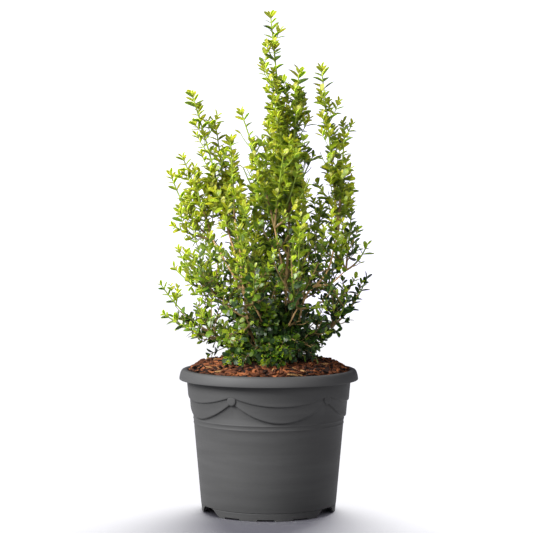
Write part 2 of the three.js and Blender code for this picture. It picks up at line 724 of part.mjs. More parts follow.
const plant = new THREE.Group();
plant.add(named('pot', buildPot(), 'plastic'));
plant.add(named('potting_mix', buildMix(), 'mix'));
plant.add(named('bark_mulch', buildMulch(), 'bark'));
plant.add(named('trunk', trunkSolid(0), 'wood'));
for (const [name, limb] of Object.entries(LIMBS)) {
  plant.add(named(`bough_${name}`, buildLimb(limb), 'wood'));
}
for (const [name, mass] of Object.entries(MASSES)) {
  plant.add(named(`foliage_${name}`, buildMass(name, mass), 'leaf'));
}
export default plant;
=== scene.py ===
"""Dresses the potted boxwood: moulded container, bark mulch, stems with bark, and a crown of leafy shoots.

The crown grows on from the limbs by the same seeded rule as the part's solids, carried on to finer shoots
with leaves of life size. Lengths in the classes are millimetres, in the row's own frame, with +Z up and the
front facing -Y. Blender gets metres.
"""

import json
import logging
import math
from dataclasses import dataclass, field
from enum import Enum
from typing import Callable, Sequence

import bpy
import numpy as np
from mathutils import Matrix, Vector, noise

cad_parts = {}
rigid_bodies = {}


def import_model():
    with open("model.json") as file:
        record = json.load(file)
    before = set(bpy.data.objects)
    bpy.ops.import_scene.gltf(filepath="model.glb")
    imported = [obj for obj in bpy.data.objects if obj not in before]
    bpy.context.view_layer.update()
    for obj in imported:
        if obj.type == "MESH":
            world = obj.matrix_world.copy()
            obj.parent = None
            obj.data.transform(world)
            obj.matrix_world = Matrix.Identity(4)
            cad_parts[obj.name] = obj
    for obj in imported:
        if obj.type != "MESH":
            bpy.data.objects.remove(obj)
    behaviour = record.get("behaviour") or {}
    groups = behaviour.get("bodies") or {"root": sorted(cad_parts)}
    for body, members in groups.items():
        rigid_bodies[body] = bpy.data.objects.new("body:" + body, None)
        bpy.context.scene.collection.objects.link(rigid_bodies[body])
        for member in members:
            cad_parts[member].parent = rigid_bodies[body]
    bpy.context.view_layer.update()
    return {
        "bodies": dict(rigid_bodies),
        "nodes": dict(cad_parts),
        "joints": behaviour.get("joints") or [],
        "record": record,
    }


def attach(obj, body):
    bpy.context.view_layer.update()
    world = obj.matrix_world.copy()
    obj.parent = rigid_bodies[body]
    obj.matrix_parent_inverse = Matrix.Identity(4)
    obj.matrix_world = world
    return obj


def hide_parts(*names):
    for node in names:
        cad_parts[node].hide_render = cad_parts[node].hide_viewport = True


log = logging.getLogger("boxwood")

MM = 0.001
TURN = math.pi * 2
# The turn from one to the next that spreads things evenly round an axis, in degrees
GOLDEN_ANGLE = 137.5

Point = np.ndarray
Draw = Callable[[], float]
Span = tuple[float, float]
Place = tuple[float, float, float]
Series = tuple[float, ...]
Outline = tuple[Span, ...]
Piece = bpy.types.Object
Link = tuple[bpy.types.Node, str]


class Slot(Enum):
    """The record's material slots."""

    CONTAINER = "container_plastic"
    MIX = "potting_mix"
    CHIPS = "bark_chips"
    BARK = "boxwood_bark"
    LEAVES = "boxwood_leaves"


class Age(Enum):
    """How old a leaf is, which gives its colour and gloss."""

    LIME = 0
    FRESH = 1
    SUMMER = 2
    OLD = 3


# Numbers, vectors and random draws


def mix(a: float, b: float, t: float) -> float:
    """A value between a and b, at the share t."""
    return a + (b - a) * t


def ramp(value: float, low: float, high: float) -> float:
    """How far a value is on its way from low to high, from 0 to 1."""
    return min(1.0, max(0.0, (value - low) / (high - low)))


def jitter(size: float, draw: Draw) -> float:
    """A random change to either side of 0, within a size all told."""
    return size * (draw() - 0.5)


def unit(v: Point) -> Point:
    """A vector of length one."""
    return v / math.sqrt(float(v @ v))


def cross(a: Point, b: Point) -> Point:
    """The cross product of two vectors."""
    return np.array((a[1] * b[2] - a[2] * b[1], a[2] * b[0] - a[0] * b[2], a[0] * b[1] - a[1] * b[0]))


def no_places() -> Point:
    """An empty list of places."""
    return np.zeros((0, 3))


def from_front(degrees: float) -> float:
    """The angle from +X, in radians, of a direction counted in degrees round from the front."""
    return math.radians(degrees - 90)


def make_random(seed: int) -> Draw:
    """Makes the part's own repeatable source of random numbers.

    Args:
        seed: A whole number that starts the row of draws.

    Returns:
        A function that gives the next number, from 0 to 1.
    """
    word = 0xFFFFFFFF
    state = seed

    def draw() -> float:
        """The next number."""
        nonlocal state
        state = (state + 0x6D2B79F5) & word
        t = ((state ^ (state >> 15)) * (1 | state)) & word
        t = (((t + (((t ^ (t >> 7)) * (61 | t)) & word)) & word) ^ t) & word
        return ((t ^ (t >> 14)) & word) / 4294967296

    return draw


# Colours and material nodes

# The Mix node's two colours in and its colour out, whose names its other sockets share
COLOUR_A, COLOUR_B, COLOUR_OUT = 6, 7, 2


def linear(hex_colour: int) -> tuple[float, float, float, float]:
    """Turns an sRGB hex value to the linear colour that Blender takes.

    Args:
        hex_colour: The colour as 0xRRGGBB.

    Returns:
        Red, green, blue and alpha.
    """
    parts = [((hex_colour >> shift) & 255) / 255 for shift in (16, 8, 0)]
    red, green, blue = (c / 12.92 if c <= 0.04045 else ((c + 0.055) / 1.055) ** 2.4 for c in parts)
    return red, green, blue, 1.0


def add_node(
    tree: bpy.types.NodeTree, kind: str, settings: dict | None = None, links: dict[str, Link] | None = None
) -> bpy.types.Node:
    """Adds one node with its settings and links.

    Args:
        tree: The node tree of a material or world.
        kind: The node's type name without ShaderNode.
        settings: Values by the name of an input or, where no input has it, of a property.
        links: The node and output that feed an input, by the input's name.

    Returns:
        The new node.
    """
    node = tree.nodes.new("ShaderNode" + kind)
    for name, value in (settings or {}).items():
        if name in node.inputs:
            node.inputs[name].default_value = value
        else:
            setattr(node, name, value)
    for name, (source, output) in (links or {}).items():
        target = node.inputs[int(name)] if name.isdigit() else node.inputs[name]
        tree.links.new(source.outputs[output], target)
    return node


def new_material(name: str) -> tuple[bpy.types.Material, bpy.types.NodeTree]:
    """An empty material that uses nodes, and its tree."""
    material = bpy.data.materials.new(name)
    material.use_nodes = True
    material.node_tree.nodes.clear()
    return material, material.node_tree


@dataclass(frozen=True)
class Finish:
    """A material whose colour, gloss and relief vary over patches and a fine grain of real sizes.

    Sizes are millimetres. The colour goes from shade to light over the patches, with the grain a little
    on top of it, and the relief comes from the grain alone. A glow is light that passes into the surface.
    """

    name: str
    shade: int
    light: int
    patch: float
    grain: float
    grain_share: float
    relief: float
    roughness: Span
    stretch: Place = (1, 1, 1)
    specular: float = 0.5
    glow: float = 0.0
    glow_colour: Place = (0.8, 1, 0.3)
    glow_depth: float = 2.4
    colour_span: Span = (0.34, 0.66)
    gloss_span: Span = (0.3, 0.7)

    def build(self) -> bpy.types.Material:
        """Makes the material from Object coordinates and two noises.

        Returns:
            The finished material.
        """
        material, tree = new_material(self.name)
        place = add_node(tree, "TexCoord")
        scaled = add_node(tree, "Mapping", {"Scale": self.stretch}, {"Vector": (place, "Object")})
        patches, grain = (
            add_node(
                tree,
                "TexNoise",
                {"Scale": 1 / (size * MM), "Detail": detail, "Roughness": rough},
                {"Vector": (scaled, "Vector")},
            )
            for size, detail, rough in ((self.patch, 2.0, 0.5), (self.grain, 3.0, 0.6))
        )
        both = add_node(
            tree,
            "Mix",
            {"data_type": "FLOAT", "Factor": self.grain_share},
            {"A": (patches, "Fac"), "B": (grain, "Fac")},
        )
        least, most = self.colour_span
        limits = {"From Min": least, "From Max": most}
        spread = add_node(tree, "MapRange", limits, {"Value": (both, "Result")})
        colour = add_node(tree, "Mix", {"data_type": "RGBA"}, {"Factor": (spread, "Result")})
        colour.inputs[COLOUR_A].default_value = linear(self.shade)
        colour.inputs[COLOUR_B].default_value = linear(self.light)
        least, most = self.gloss_span
        dull = add_node(
            tree,
            "MapRange",
            {"From Min": least, "From Max": most, "To Min": self.roughness[0], "To Max": self.roughness[1]},
            {"Value": (grain, "Fac")},
        )
        bump = add_node(
            tree, "Bump", {"Strength": 1.0, "Distance": self.relief * MM}, {"Height": (grain, "Fac")}
        )
        shader = add_node(
            tree,
            "BsdfPrincipled",
            {"Specular IOR Level": self.specular},
            {"Roughness": (dull, "Result"), "Normal": (bump, "Normal")},
        )
        tree.links.new(colour.outputs[COLOUR_OUT], shader.inputs["Base Color"])
        if self.glow:
            shader.inputs["Subsurface Weight"].default_value = self.glow
            shader.inputs["Subsurface Radius"].default_value = self.glow_colour
            shader.inputs["Subsurface Scale"].default_value = self.glow_depth * MM
        add_node(tree, "OutputMaterial", links={"Surface": (shader, "BSDF")})
        return material


def leaf_finish(
    name: str, shade: int, light: int, roughness: Span, specular: float, glow: float
) -> Finish:
    """A finish with the mottling and fine pores of a small leathery leaf."""
    return Finish(name, shade, light, 16, 1.8, 0.15, 0.05, roughness, specular=specular, glow=glow)


# Injection-moulded recycled polypropylene: matt mid-grey, with faint cloudy flow and a fine mould texture
CONTAINER_FINISH = Finish(
    "matt_polypropylene",
    0x313131,
    0x383838,
    14,
    0.9,
    0.3,
    0.06,
    (0.54, 0.66),
    stretch=(0.1, 0.1, 1),
    specular=0.16,
)
# Peat and coir: nearly black, crumbly, no shine
MIX_FINISH = Finish("peat_mix", 0x1A120C, 0x3A2A1E, 7, 1.6, 0.5, 0.8, (0.9, 1.0))
# Fine rotted bark between the chips: dark and damp
BED_FINISH = Finish("rotted_bark", 0x0C0604, 0x1E110A, 6, 1.5, 0.5, 0.8, (0.85, 1.0), specular=0.1)
# Pine bark chips, in four tones from weathered to freshly split: dry and fibrous
CHIP_FINISHES = tuple(
    Finish(f"bark_chip_{tone}", shade, light, 5, 0.8, 0.4, relief, roughness, specular=0.15)
    for tone, shade, light, relief, roughness in (
        ("dark", 0x0C0403, 0x1E0F08, 0.35, (0.75, 0.95)),
        ("brown", 0x33190D, 0x502C18, 0.35, (0.7, 0.92)),
        ("rust", 0x542A15, 0x7A4A2A, 0.35, (0.7, 0.9)),
        ("split", 0x66482A, 0x8C6C44, 0.3, (0.7, 0.9)),
    )
)
# Boxwood bark: pale tan with grey-brown fissures that run up the stem
STEM_FINISH = Finish(
    "boxwood_stem_bark",
    0x967448,
    0xD4B07A,
    9,
    1.4,
    0.5,
    0.3,
    (0.7, 0.85),
    stretch=(1, 1, 0.25),
    specular=0.2,
)
# Which one a shoot takes is partly painted light and shade: greener on the lit left, tanner low on the right
SHOOT_FINISHES = (
    # Last year's twigs: thin tan bark
    Finish("tan_twig", 0x5A482A, 0x847048, 10, 1.2, 0.4, 0.12, (0.65, 0.8), specular=0.2),
    # This year's shoots lower down, where they ripen: dull olive
    Finish("ripening_shoot", 0x3A4418, 0x565C28, 12, 1.2, 0.3, 0.08, (0.5, 0.65), specular=0.2),
    # The same shoots above: smooth, yellow-green, slightly waxy
    Finish("green_shoot", 0x5C701A, 0x748426, 14, 1.2, 0.2, 0.05, (0.45, 0.6), specular=0.25),
)
# Leaves: leathery, waxy above and dull below. Young ones are lime, soft and lit through, old ones dark
# and glossy.
# Which age a leaf takes is partly painted light and shade: younger, paler leaves on the lit left, older,
# darker ones low on the right
LEAF_FINISHES = {
    Age.LIME: (
        leaf_finish("lime_leaf", 0x6F720E, 0x7A7B12, (0.4, 0.52), 0.16, 0.9),
        leaf_finish("lime_leaf_underside", 0x6A731C, 0x7C8226, (0.55, 0.7), 0.15, 0.9),
    ),
    Age.FRESH: (
        leaf_finish("fresh_leaf", 0x5A6C10, 0x6E7C14, (0.36, 0.48), 0.18, 0.85),
        leaf_finish("fresh_leaf_underside", 0x566A1A, 0x687A24, (0.55, 0.7), 0.15, 0.85),
    ),
    Age.SUMMER: (
        leaf_finish("summer_leaf", 0x34490C, 0x4A6012, (0.34, 0.48), 0.28, 0.4),
        leaf_finish("summer_leaf_underside", 0x324618, 0x425620, (0.5, 0.65), 0.2, 0.4),
    ),
    Age.OLD: (
        leaf_finish("old_leaf", 0x10200A, 0x1E320F, (0.32, 0.46), 0.24, 0.3),
        leaf_finish("old_leaf_underside", 0x16240C, 0x20300F, (0.5, 0.65), 0.18, 0.3),
    ),
}


# Meshes


@dataclass
class Pattern:
    """A small shape that is repeated: its corners, its faces, and the finish that each face takes."""

    corners: Point
    faces: list[tuple[int, ...]]
    finishes: list[int]


@dataclass
class JoinedMesh:
    """Many small shapes gathered into one mesh."""

    name: str
    corners: list[Point] = field(default_factory=list)
    face_starts: list[Point] = field(default_factory=list)
    face_sizes: list[Point] = field(default_factory=list)
    face_corners: list[Point] = field(default_factory=list)
    face_finishes: list[Point] = field(default_factory=list)
    corner_count: int = 0
    loop_count: int = 0

    def add(self, pattern: Pattern, placed: Point) -> None:
        """Adds copies of one pattern.

        Args:
            pattern: The shape, for its faces.
            placed: The corners of every copy, in millimetres, as copies x corners x 3.
        """
        copies, per_copy = placed.shape[:2]
        if not copies:
            return
        sizes = np.array([len(face) for face in pattern.faces])
        flat = np.array([corner for face in pattern.faces for corner in face])
        offsets = self.corner_count + per_copy * np.arange(copies)
        starts = np.concatenate(([0], np.cumsum(sizes)[:-1]))
        self.corners.append(placed.reshape(-1, 3))
        self.face_sizes.append(np.tile(sizes, copies))
        self.face_corners.append((flat[None] + offsets[:, None]).ravel())
        before = self.loop_count + len(flat) * np.arange(copies)
        self.face_starts.append((starts[None] + before[:, None]).ravel())
        self.face_finishes.append(np.tile(np.array(pattern.finishes), copies))
        self.corner_count += copies * per_copy
        self.loop_count += copies * len(flat)

    def build(self, materials: Sequence[bpy.types.Material], crease_degrees: float) -> Piece:
        """Makes the object.

        Args:
            materials: The materials, in the order that the finishes count.
            crease_degrees: Edges sharper than this stay crisp under smooth shading.

        Returns:
            The mesh object.
        """
        mesh = bpy.data.meshes.new(self.name)
        sizes = np.concatenate(self.face_sizes)
        mesh.vertices.add(self.corner_count)
        mesh.vertices.foreach_set("co", (np.concatenate(self.corners) * MM).astype(np.float32).ravel())
        mesh.loops.add(self.loop_count)
        mesh.loops.foreach_set("vertex_index", np.concatenate(self.face_corners).astype(np.int32))
        mesh.polygons.add(len(sizes))
        mesh.polygons.foreach_set("loop_start", np.concatenate(self.face_starts).astype(np.int32))
        mesh.polygons.foreach_set("loop_total", sizes.astype(np.int32))
        for material in materials:
            mesh.materials.append(material)
        mesh.polygons.foreach_set("material_index", np.concatenate(self.face_finishes).astype(np.int32))
        mesh.update(calc_edges=True)
        mesh.shade_smooth()
        mesh.set_sharp_from_angle(angle=math.radians(crease_degrees))
        piece = bpy.data.objects.new(self.name, mesh)
        bpy.context.scene.collection.objects.link(piece)
        return piece


def select_only(piece: Piece) -> None:
    """Deselects everything, then selects one object and makes it the active one."""
    bpy.ops.object.select_all(action="DESELECT")
    piece.select_set(True)
    bpy.context.view_layer.objects.active = piece


def apply_modifier(piece: Piece, kind: str, **settings: object) -> None:
    """Adds a modifier with its settings and applies it.

    Args:
        piece: The object that it shapes.
        kind: The modifier's type name.
        settings: Its values by name.
    """
    select_only(piece)
    modifier = piece.modifiers.new(kind.lower(), kind)
    for name, value in settings.items():
        setattr(modifier, name, value)
    bpy.ops.object.modifier_apply(modifier=modifier.name)


def place_in_mesh(piece: Piece) -> None:
    """Moves an object's place, turn and size into its mesh."""
    select_only(piece)
    bpy.ops.object.transform_apply(location=True, rotation=True, scale=True)


def join(pieces: Sequence[Piece]) -> Piece:
    """Joins objects into the first of them, and returns it."""
    select_only(pieces[0])
    for piece in pieces:
        piece.select_set(True)
    bpy.ops.object.join()
    return pieces[0]


def edit(kind: str) -> None:
    """Deselects all of the active object's mesh, with one kind of element ready to be selected in code."""
    bpy.ops.object.mode_set(mode="EDIT")
    bpy.ops.mesh.select_mode(type=kind)
    bpy.ops.mesh.select_all(action="DESELECT")
    bpy.ops.object.mode_set(mode="OBJECT")


def stand(piece: Piece, radius: float, angle: float, height: float) -> None:
    """Turns an object to an angle round the axis, moves it there and puts its place in its mesh.

    Args:
        piece: The object.
        radius: Its distance from the axis.
        angle: Its angle from +X, in radians.
        height: Its height.
    """
    piece.rotation_euler.z = angle
    piece.location = (radius * math.cos(angle) * MM, radius * math.sin(angle) * MM, height * MM)
    place_in_mesh(piece)


def seat(piece: Piece, slot: Slot, nodes: Sequence[str]) -> None:
    """Rides a piece on the plant's one body, hides the CAD nodes that it replaces and logs its faces.

    Args:
        piece: The finished object.
        slot: The record's slot for its finish; not used.
        nodes: The CAD nodes that it replaces.
    """
    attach(piece, "root")
    if nodes:
        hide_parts(*nodes)
    log.info("%s: %d faces", piece.name, len(piece.data.polygons))


@dataclass(frozen=True)
class Ring:
    """One ring of a turned body: its radius and height, which may change round it."""

    radius: float
    height: float
    at: Callable[[float], Span] | None = None


def turned_body(name: str, rings: Sequence[Ring], sides: int) -> Piece:
    """Models a closed turned body as by hand: a capped circle, pulled on from ring to ring.

    Args:
        name: The object's name.
        rings: The rings in order, from the middle of the underside to the middle of the top.
        sides: How many sides each ring has.

    Returns:
        The closed object, with faces outward.
    """
    first = rings[0]
    bpy.ops.object.select_all(action="DESELECT")
    bpy.ops.mesh.primitive_circle_add(
        vertices=sides, radius=first.radius * MM, fill_type="NGON", location=(0, 0, first.height * MM)
    )
    body = bpy.context.active_object
    body.name = body.data.name = name
    place_in_mesh(body)
    bpy.ops.object.mode_set(mode="EDIT")
    bpy.ops.mesh.select_mode(type="EDGE")
    bpy.ops.mesh.select_all(action="SELECT")
    bpy.ops.mesh.delete(type="ONLY_FACE")
    bpy.ops.mesh.select_all(action="SELECT")
    for before, ring in zip(rings, rings[1:]):
        bpy.ops.mesh.extrude_region_move(
            TRANSFORM_OT_translate={"value": (0, 0, (ring.height - before.height) * MM)}
        )
        share = ring.radius / before.radius
        bpy.ops.transform.resize(value=(share, share, 1), center_override=(0, 0, ring.height * MM))
    bpy.ops.object.mode_set(mode="OBJECT")
    reshape_rings(body, rings, sides)
    bpy.ops.object.mode_set(mode="EDIT")
    bpy.ops.mesh.select_all(action="DESELECT")
    bpy.ops.mesh.select_non_manifold()
    bpy.ops.mesh.fill_holes(sides=0)
    bpy.ops.mesh.select_all(action="SELECT")
    bpy.ops.mesh.normals_make_consistent(inside=False)
    bpy.ops.object.mode_set(mode="OBJECT")
    return body


def reshape_rings(body: Piece, rings: Sequence[Ring], sides: int) -> None:
    """Moves the corners of the rings that change round the body.

    Args:
        body: The body, whose corners lie ring after ring.
        rings: Its rings in order.
        sides: How many sides each ring has.
    """
    for index, ring in enumerate(rings):
        if ring.at is None:
            continue
        for vertex in body.data.vertices[index * sides : (index + 1) * sides]:
            angle = math.atan2(vertex.co.y, vertex.co.x)
            radius, height = ring.at(angle)
            vertex.co = Vector((radius * math.cos(angle), radius * math.sin(angle), height)) * MM


# Container


@dataclass(frozen=True)
class GarlandLayer:
    """One layer of the garland: its hanging edge at a knot and at mid-swag, and how proud it stands."""

    knot: float
    middle: float
    proud: float


@dataclass
class Container:
    """A ten-litre moulded pot with a rolled rim, a garland in two layers and a notched foot."""

    sides: int = 240
    wall_foot_radius: float = 104.8
    wall_slope: float = 0.0894
    wall_thickness: float = 2
    rim_underside: float = 205
    floor_underside: float = 14
    floor_top: float = 16.4
    floor_centre: float = 24
    fillet: float = 2
    skirt_thickness: float = 2.6
    skirt_inset: float = 0.3
    ring_lines: Span = (139, 146)
    ring_reach: float = 0.55
    swags: int = 5
    first_knot: float = 45.3
    lower: GarlandLayer = GarlandLayer(180, 149.6, 3)
    upper: GarlandLayer = GarlandLayer(188.4, 174.7, 5.2)
    garland_top: float = 199
    garland_easing: float = 0.2
    knot_radius: float = 7.2
    knot_height: float = 183.8
    knot_reach: float = 5.6
    knot_sunk: float = 5.2
    knot_depth: float = 9
    knot_dish: Span = (2.6, 0.35)
    knot_sides: int = 28
    notches: Series = (-61.8, 59, 180)
    notch_size: Place = (30, 28, 12)
    notch_foot: float = 59
    notch_rounding: float = 4
    slots: Series = (-32.5, -2.5, 27.5, 92.5, 117.5, 145, -145, -117.5, -92.5)
    slot_size: Place = (30, 26, 2.6)
    boss_radius: float = 20
    boss_height: float = 15
    boss_sides: int = 48
    edge_rounding: float = 1.2
    crease: float = 38

    # The foot of the skirt, as reach from its inner or outer face and height
    hem_inside: Outline = ((0, 0.6), (0.5, 0))
    hem_outside: Outline = ((-0.8, 0), (-0.2, 0.5))
    # The skirt, the groove over it and the plain wall, as height and reach off the wall
    wall: Outline = (
        (4, -0.3), (11.2, -0.3), (11.9, -1), (12.6, -0.1), (13.4, 0), (60, 0), (100, 0), (130, 0),
    )
    # A raised ring and a layer's edge, as height over their line and share of their reach
    bead: Outline = ((-1.5, 0), (-0.8, 0.55), (0, 1), (0.8, 0.55), (1.5, 0))
    lip: Outline = (
        (-0.5, 0), (0, 0.1), (0.5, 0.6), (1.2, 0.92), (2.4, 1.02), (4.2, 1.0),
    )
    # The rim from its hollow underside, round its lip, up its sloping face and over its top, as radius
    # and height over the rim's underside
    rim: Outline = (
        (130.6, 9.5), (131.6, 11.0), (134.5, 11.2), (136.6, 10.6), (137.5, 9.4), (138.3, 2.2),
        (138.7, 1.5), (139.5, 1.4), (140.0, 1.9), (140.1, 3.0), (139.6, 6.4), (138.9, 9.6), (138.0, 12.4),
        (137.0, 14.6), (135.8, 16.0), (134.2, 16.8), (131.4, 17.1), (128.6, 16.9), (126.8, 15.9),
        (125.4, 13.9), (124.6, 11.3), (123.2, 6.0),
    )

    def wall_radius(self, z: float) -> float:
        """The outside radius of the plain wall at a height."""
        return self.wall_foot_radius + self.wall_slope * z

    def edge_height(self, layer: GarlandLayer, angle: float) -> float:
        """The height of a layer's hanging edge at an angle."""
        swag = TURN / self.swags
        along = ((angle - from_front(self.first_knot)) / swag) % 1.0
        return mix(layer.middle, layer.knot, (2 * along - 1) ** 2)

    def on_wall(self, height: float, reach: float = 0) -> Ring:
        """A level ring that stands off the wall by a reach."""
        return Ring(self.wall_radius(height) + reach, height)

    def hanging(self, layer: GarlandLayer, reach: float, up: float) -> Ring:
        """A ring that follows a layer's hanging edge.

        Args:
            layer: The layer.
            reach: How far the ring stands off the wall.
            up: How far it lies above the edge.

        Returns:
            The ring.
        """

        def at(angle: float) -> Span:
            """The ring's radius and height at an angle."""
            height = self.edge_height(layer, angle) + up
            return self.wall_radius(height) + reach, height

        return Ring(self.wall_radius(layer.middle + up) + reach, layer.middle + up, at)

    def outline(self) -> list[Ring]:
        """The pot's rings, from under its floor round the foot, wall and rim to the top of its floor.

        Returns:
            The rings in order.
        """
        foot = self.wall_radius(0) - self.skirt_inset
        inside = foot - self.skirt_thickness
        under = self.floor_underside
        rings = [Ring(self.floor_centre, under), Ring(inside - self.fillet, under)]
        rings += [Ring(inside, under - self.fillet)]
        rings += [Ring(inside + reach, height) for reach, height in self.hem_inside]
        rings += [Ring(foot + reach, height) for reach, height in self.hem_outside]
        rings += [self.on_wall(height, reach) for height, reach in self.wall]
        for line in self.ring_lines:
            rings += [self.on_wall(line + up, self.ring_reach * share) for up, share in self.bead]
        below = 0.0
        for layer in (self.lower, self.upper):
            lift = layer.proud - below
            rings += [self.hanging(layer, below + lift * share, up) for up, share in self.lip]
            below = layer.proud
        rings += [self.on_wall(self.garland_top, below)]
        rings += [self.on_wall(self.rim_underside, below - self.garland_easing)]
        rings += [Ring(radius, self.rim_underside + up) for radius, up in self.rim]
        rings += [self.on_wall(self.rim_underside, -self.wall_thickness)]
        rings += [self.on_wall(self.floor_top + self.fillet, -self.wall_thickness)]
        rings += [self.on_wall(self.floor_top, -self.wall_thickness - self.fillet)]
        return rings + [Ring(self.floor_centre, self.floor_top)]

    def cutter(
        self, degrees: float, size: Place, foot_width: float, rounding: float
    ) -> Piece:
        """Models a cutter that stands at the foot.

        Args:
            degrees: Its direction, round from the front.
            size: Its depth, width and height.
            foot_width: Its width at the ground.
            rounding: The radius of its upper corners.

        Returns:
            The cutter, in place.
        """
        depth, width, height = size
        bpy.ops.object.select_all(action="DESELECT")
        bpy.ops.mesh.primitive_cube_add(size=1)
        block = bpy.context.active_object
        block.scale = (depth * MM, width * MM, height * MM)
        place_in_mesh(block)
        for vertex in block.data.vertices:
            if vertex.co.z < 0:
                vertex.co.y *= foot_width / width
                vertex.co.z -= MM
        if rounding:
            edit("EDGE")
            for edge in block.data.edges:
                a, b = (block.data.vertices[i].co for i in edge.vertices)
                edge.select = a.z > 0 and b.z > 0 and abs(a.x - b.x) > depth * MM / 2
            bpy.ops.object.mode_set(mode="EDIT")
            bpy.ops.mesh.bevel(offset=rounding * MM, segments=4)
            bpy.ops.object.mode_set(mode="OBJECT")
        stand(block, self.wall_foot_radius, from_front(degrees), height / 2)
        return block

    def cut_foot(self, pot: Piece) -> None:
        """Cuts the notches and drain slots out of the foot."""
        cutters = [
            self.cutter(angle, self.notch_size, self.notch_foot, self.notch_rounding)
            for angle in self.notches
        ]
        cutters += [self.cutter(angle, self.slot_size, self.slot_size[1], 0) for angle in self.slots]
        cutter = join(cutters)
        apply_modifier(pot, "BOOLEAN", operation="DIFFERENCE", object=cutter, solver="EXACT")
        bpy.data.objects.remove(cutter)

    def boss(self) -> Piece:
        """Models the flat round boss that the floor stands on."""
        half = self.boss_height / 2 * MM
        bpy.ops.object.select_all(action="DESELECT")
        bpy.ops.mesh.primitive_cylinder_add(
            vertices=self.boss_sides, radius=self.boss_radius * MM, depth=2 * half, location=(0, 0, half)
        )
        boss = bpy.context.active_object
        place_in_mesh(boss)
        apply_modifier(boss, "BEVEL", width=self.edge_rounding * MM, segments=3, limit_method="ANGLE")
        return boss

    def knots(self) -> Piece:
        """Models one button of the garland, and copies it to each knot.

        Returns:
            The five buttons as one object.
        """
        bpy.ops.object.select_all(action="DESELECT")
        bpy.ops.mesh.primitive_cylinder_add(
            vertices=self.knot_sides, radius=self.knot_radius * MM, depth=self.knot_depth * MM
        )
        button = bpy.context.active_object
        edit("FACE")
        for face in button.data.polygons:
            face.select = face.normal.z > 0.9
        margin, rise = self.knot_dish
        bpy.ops.object.mode_set(mode="EDIT")
        bpy.ops.mesh.inset(thickness=margin * MM)
        bpy.ops.transform.translate(value=(0, 0, rise * MM))
        bpy.ops.object.mode_set(mode="OBJECT")
        apply_modifier(button, "BEVEL", width=self.edge_rounding * MM, segments=4, limit_method="ANGLE")
        radius = self.wall_radius(self.knot_height) + self.knot_reach - self.knot_sunk
        copies = []
        for index in range(self.swags):
            copy = button.copy()
            copy.data = button.data.copy()
            bpy.context.scene.collection.objects.link(copy)
            angle = from_front(self.first_knot) + index * TURN / self.swags
            copy.rotation_euler.y = math.pi / 2 + math.atan(self.wall_slope)
            stand(copy, radius, angle, self.knot_height)
            copies.append(copy)
        bpy.data.objects.remove(button)
        return join(copies)

    def build(self) -> None:
        """Models the pot with its boss and knots, and dresses it."""
        pot = turned_body("container", self.outline(), self.sides)
        self.cut_foot(pot)
        join([pot, self.boss(), self.knots()])
        select_only(pot)
        bpy.ops.object.shade_smooth_by_angle(angle=math.radians(self.crease))
        pot.data.materials.clear()
        pot.data.materials.append(CONTAINER_FINISH.build())
        seat(pot, Slot.CONTAINER, ["pot"])


# Filling


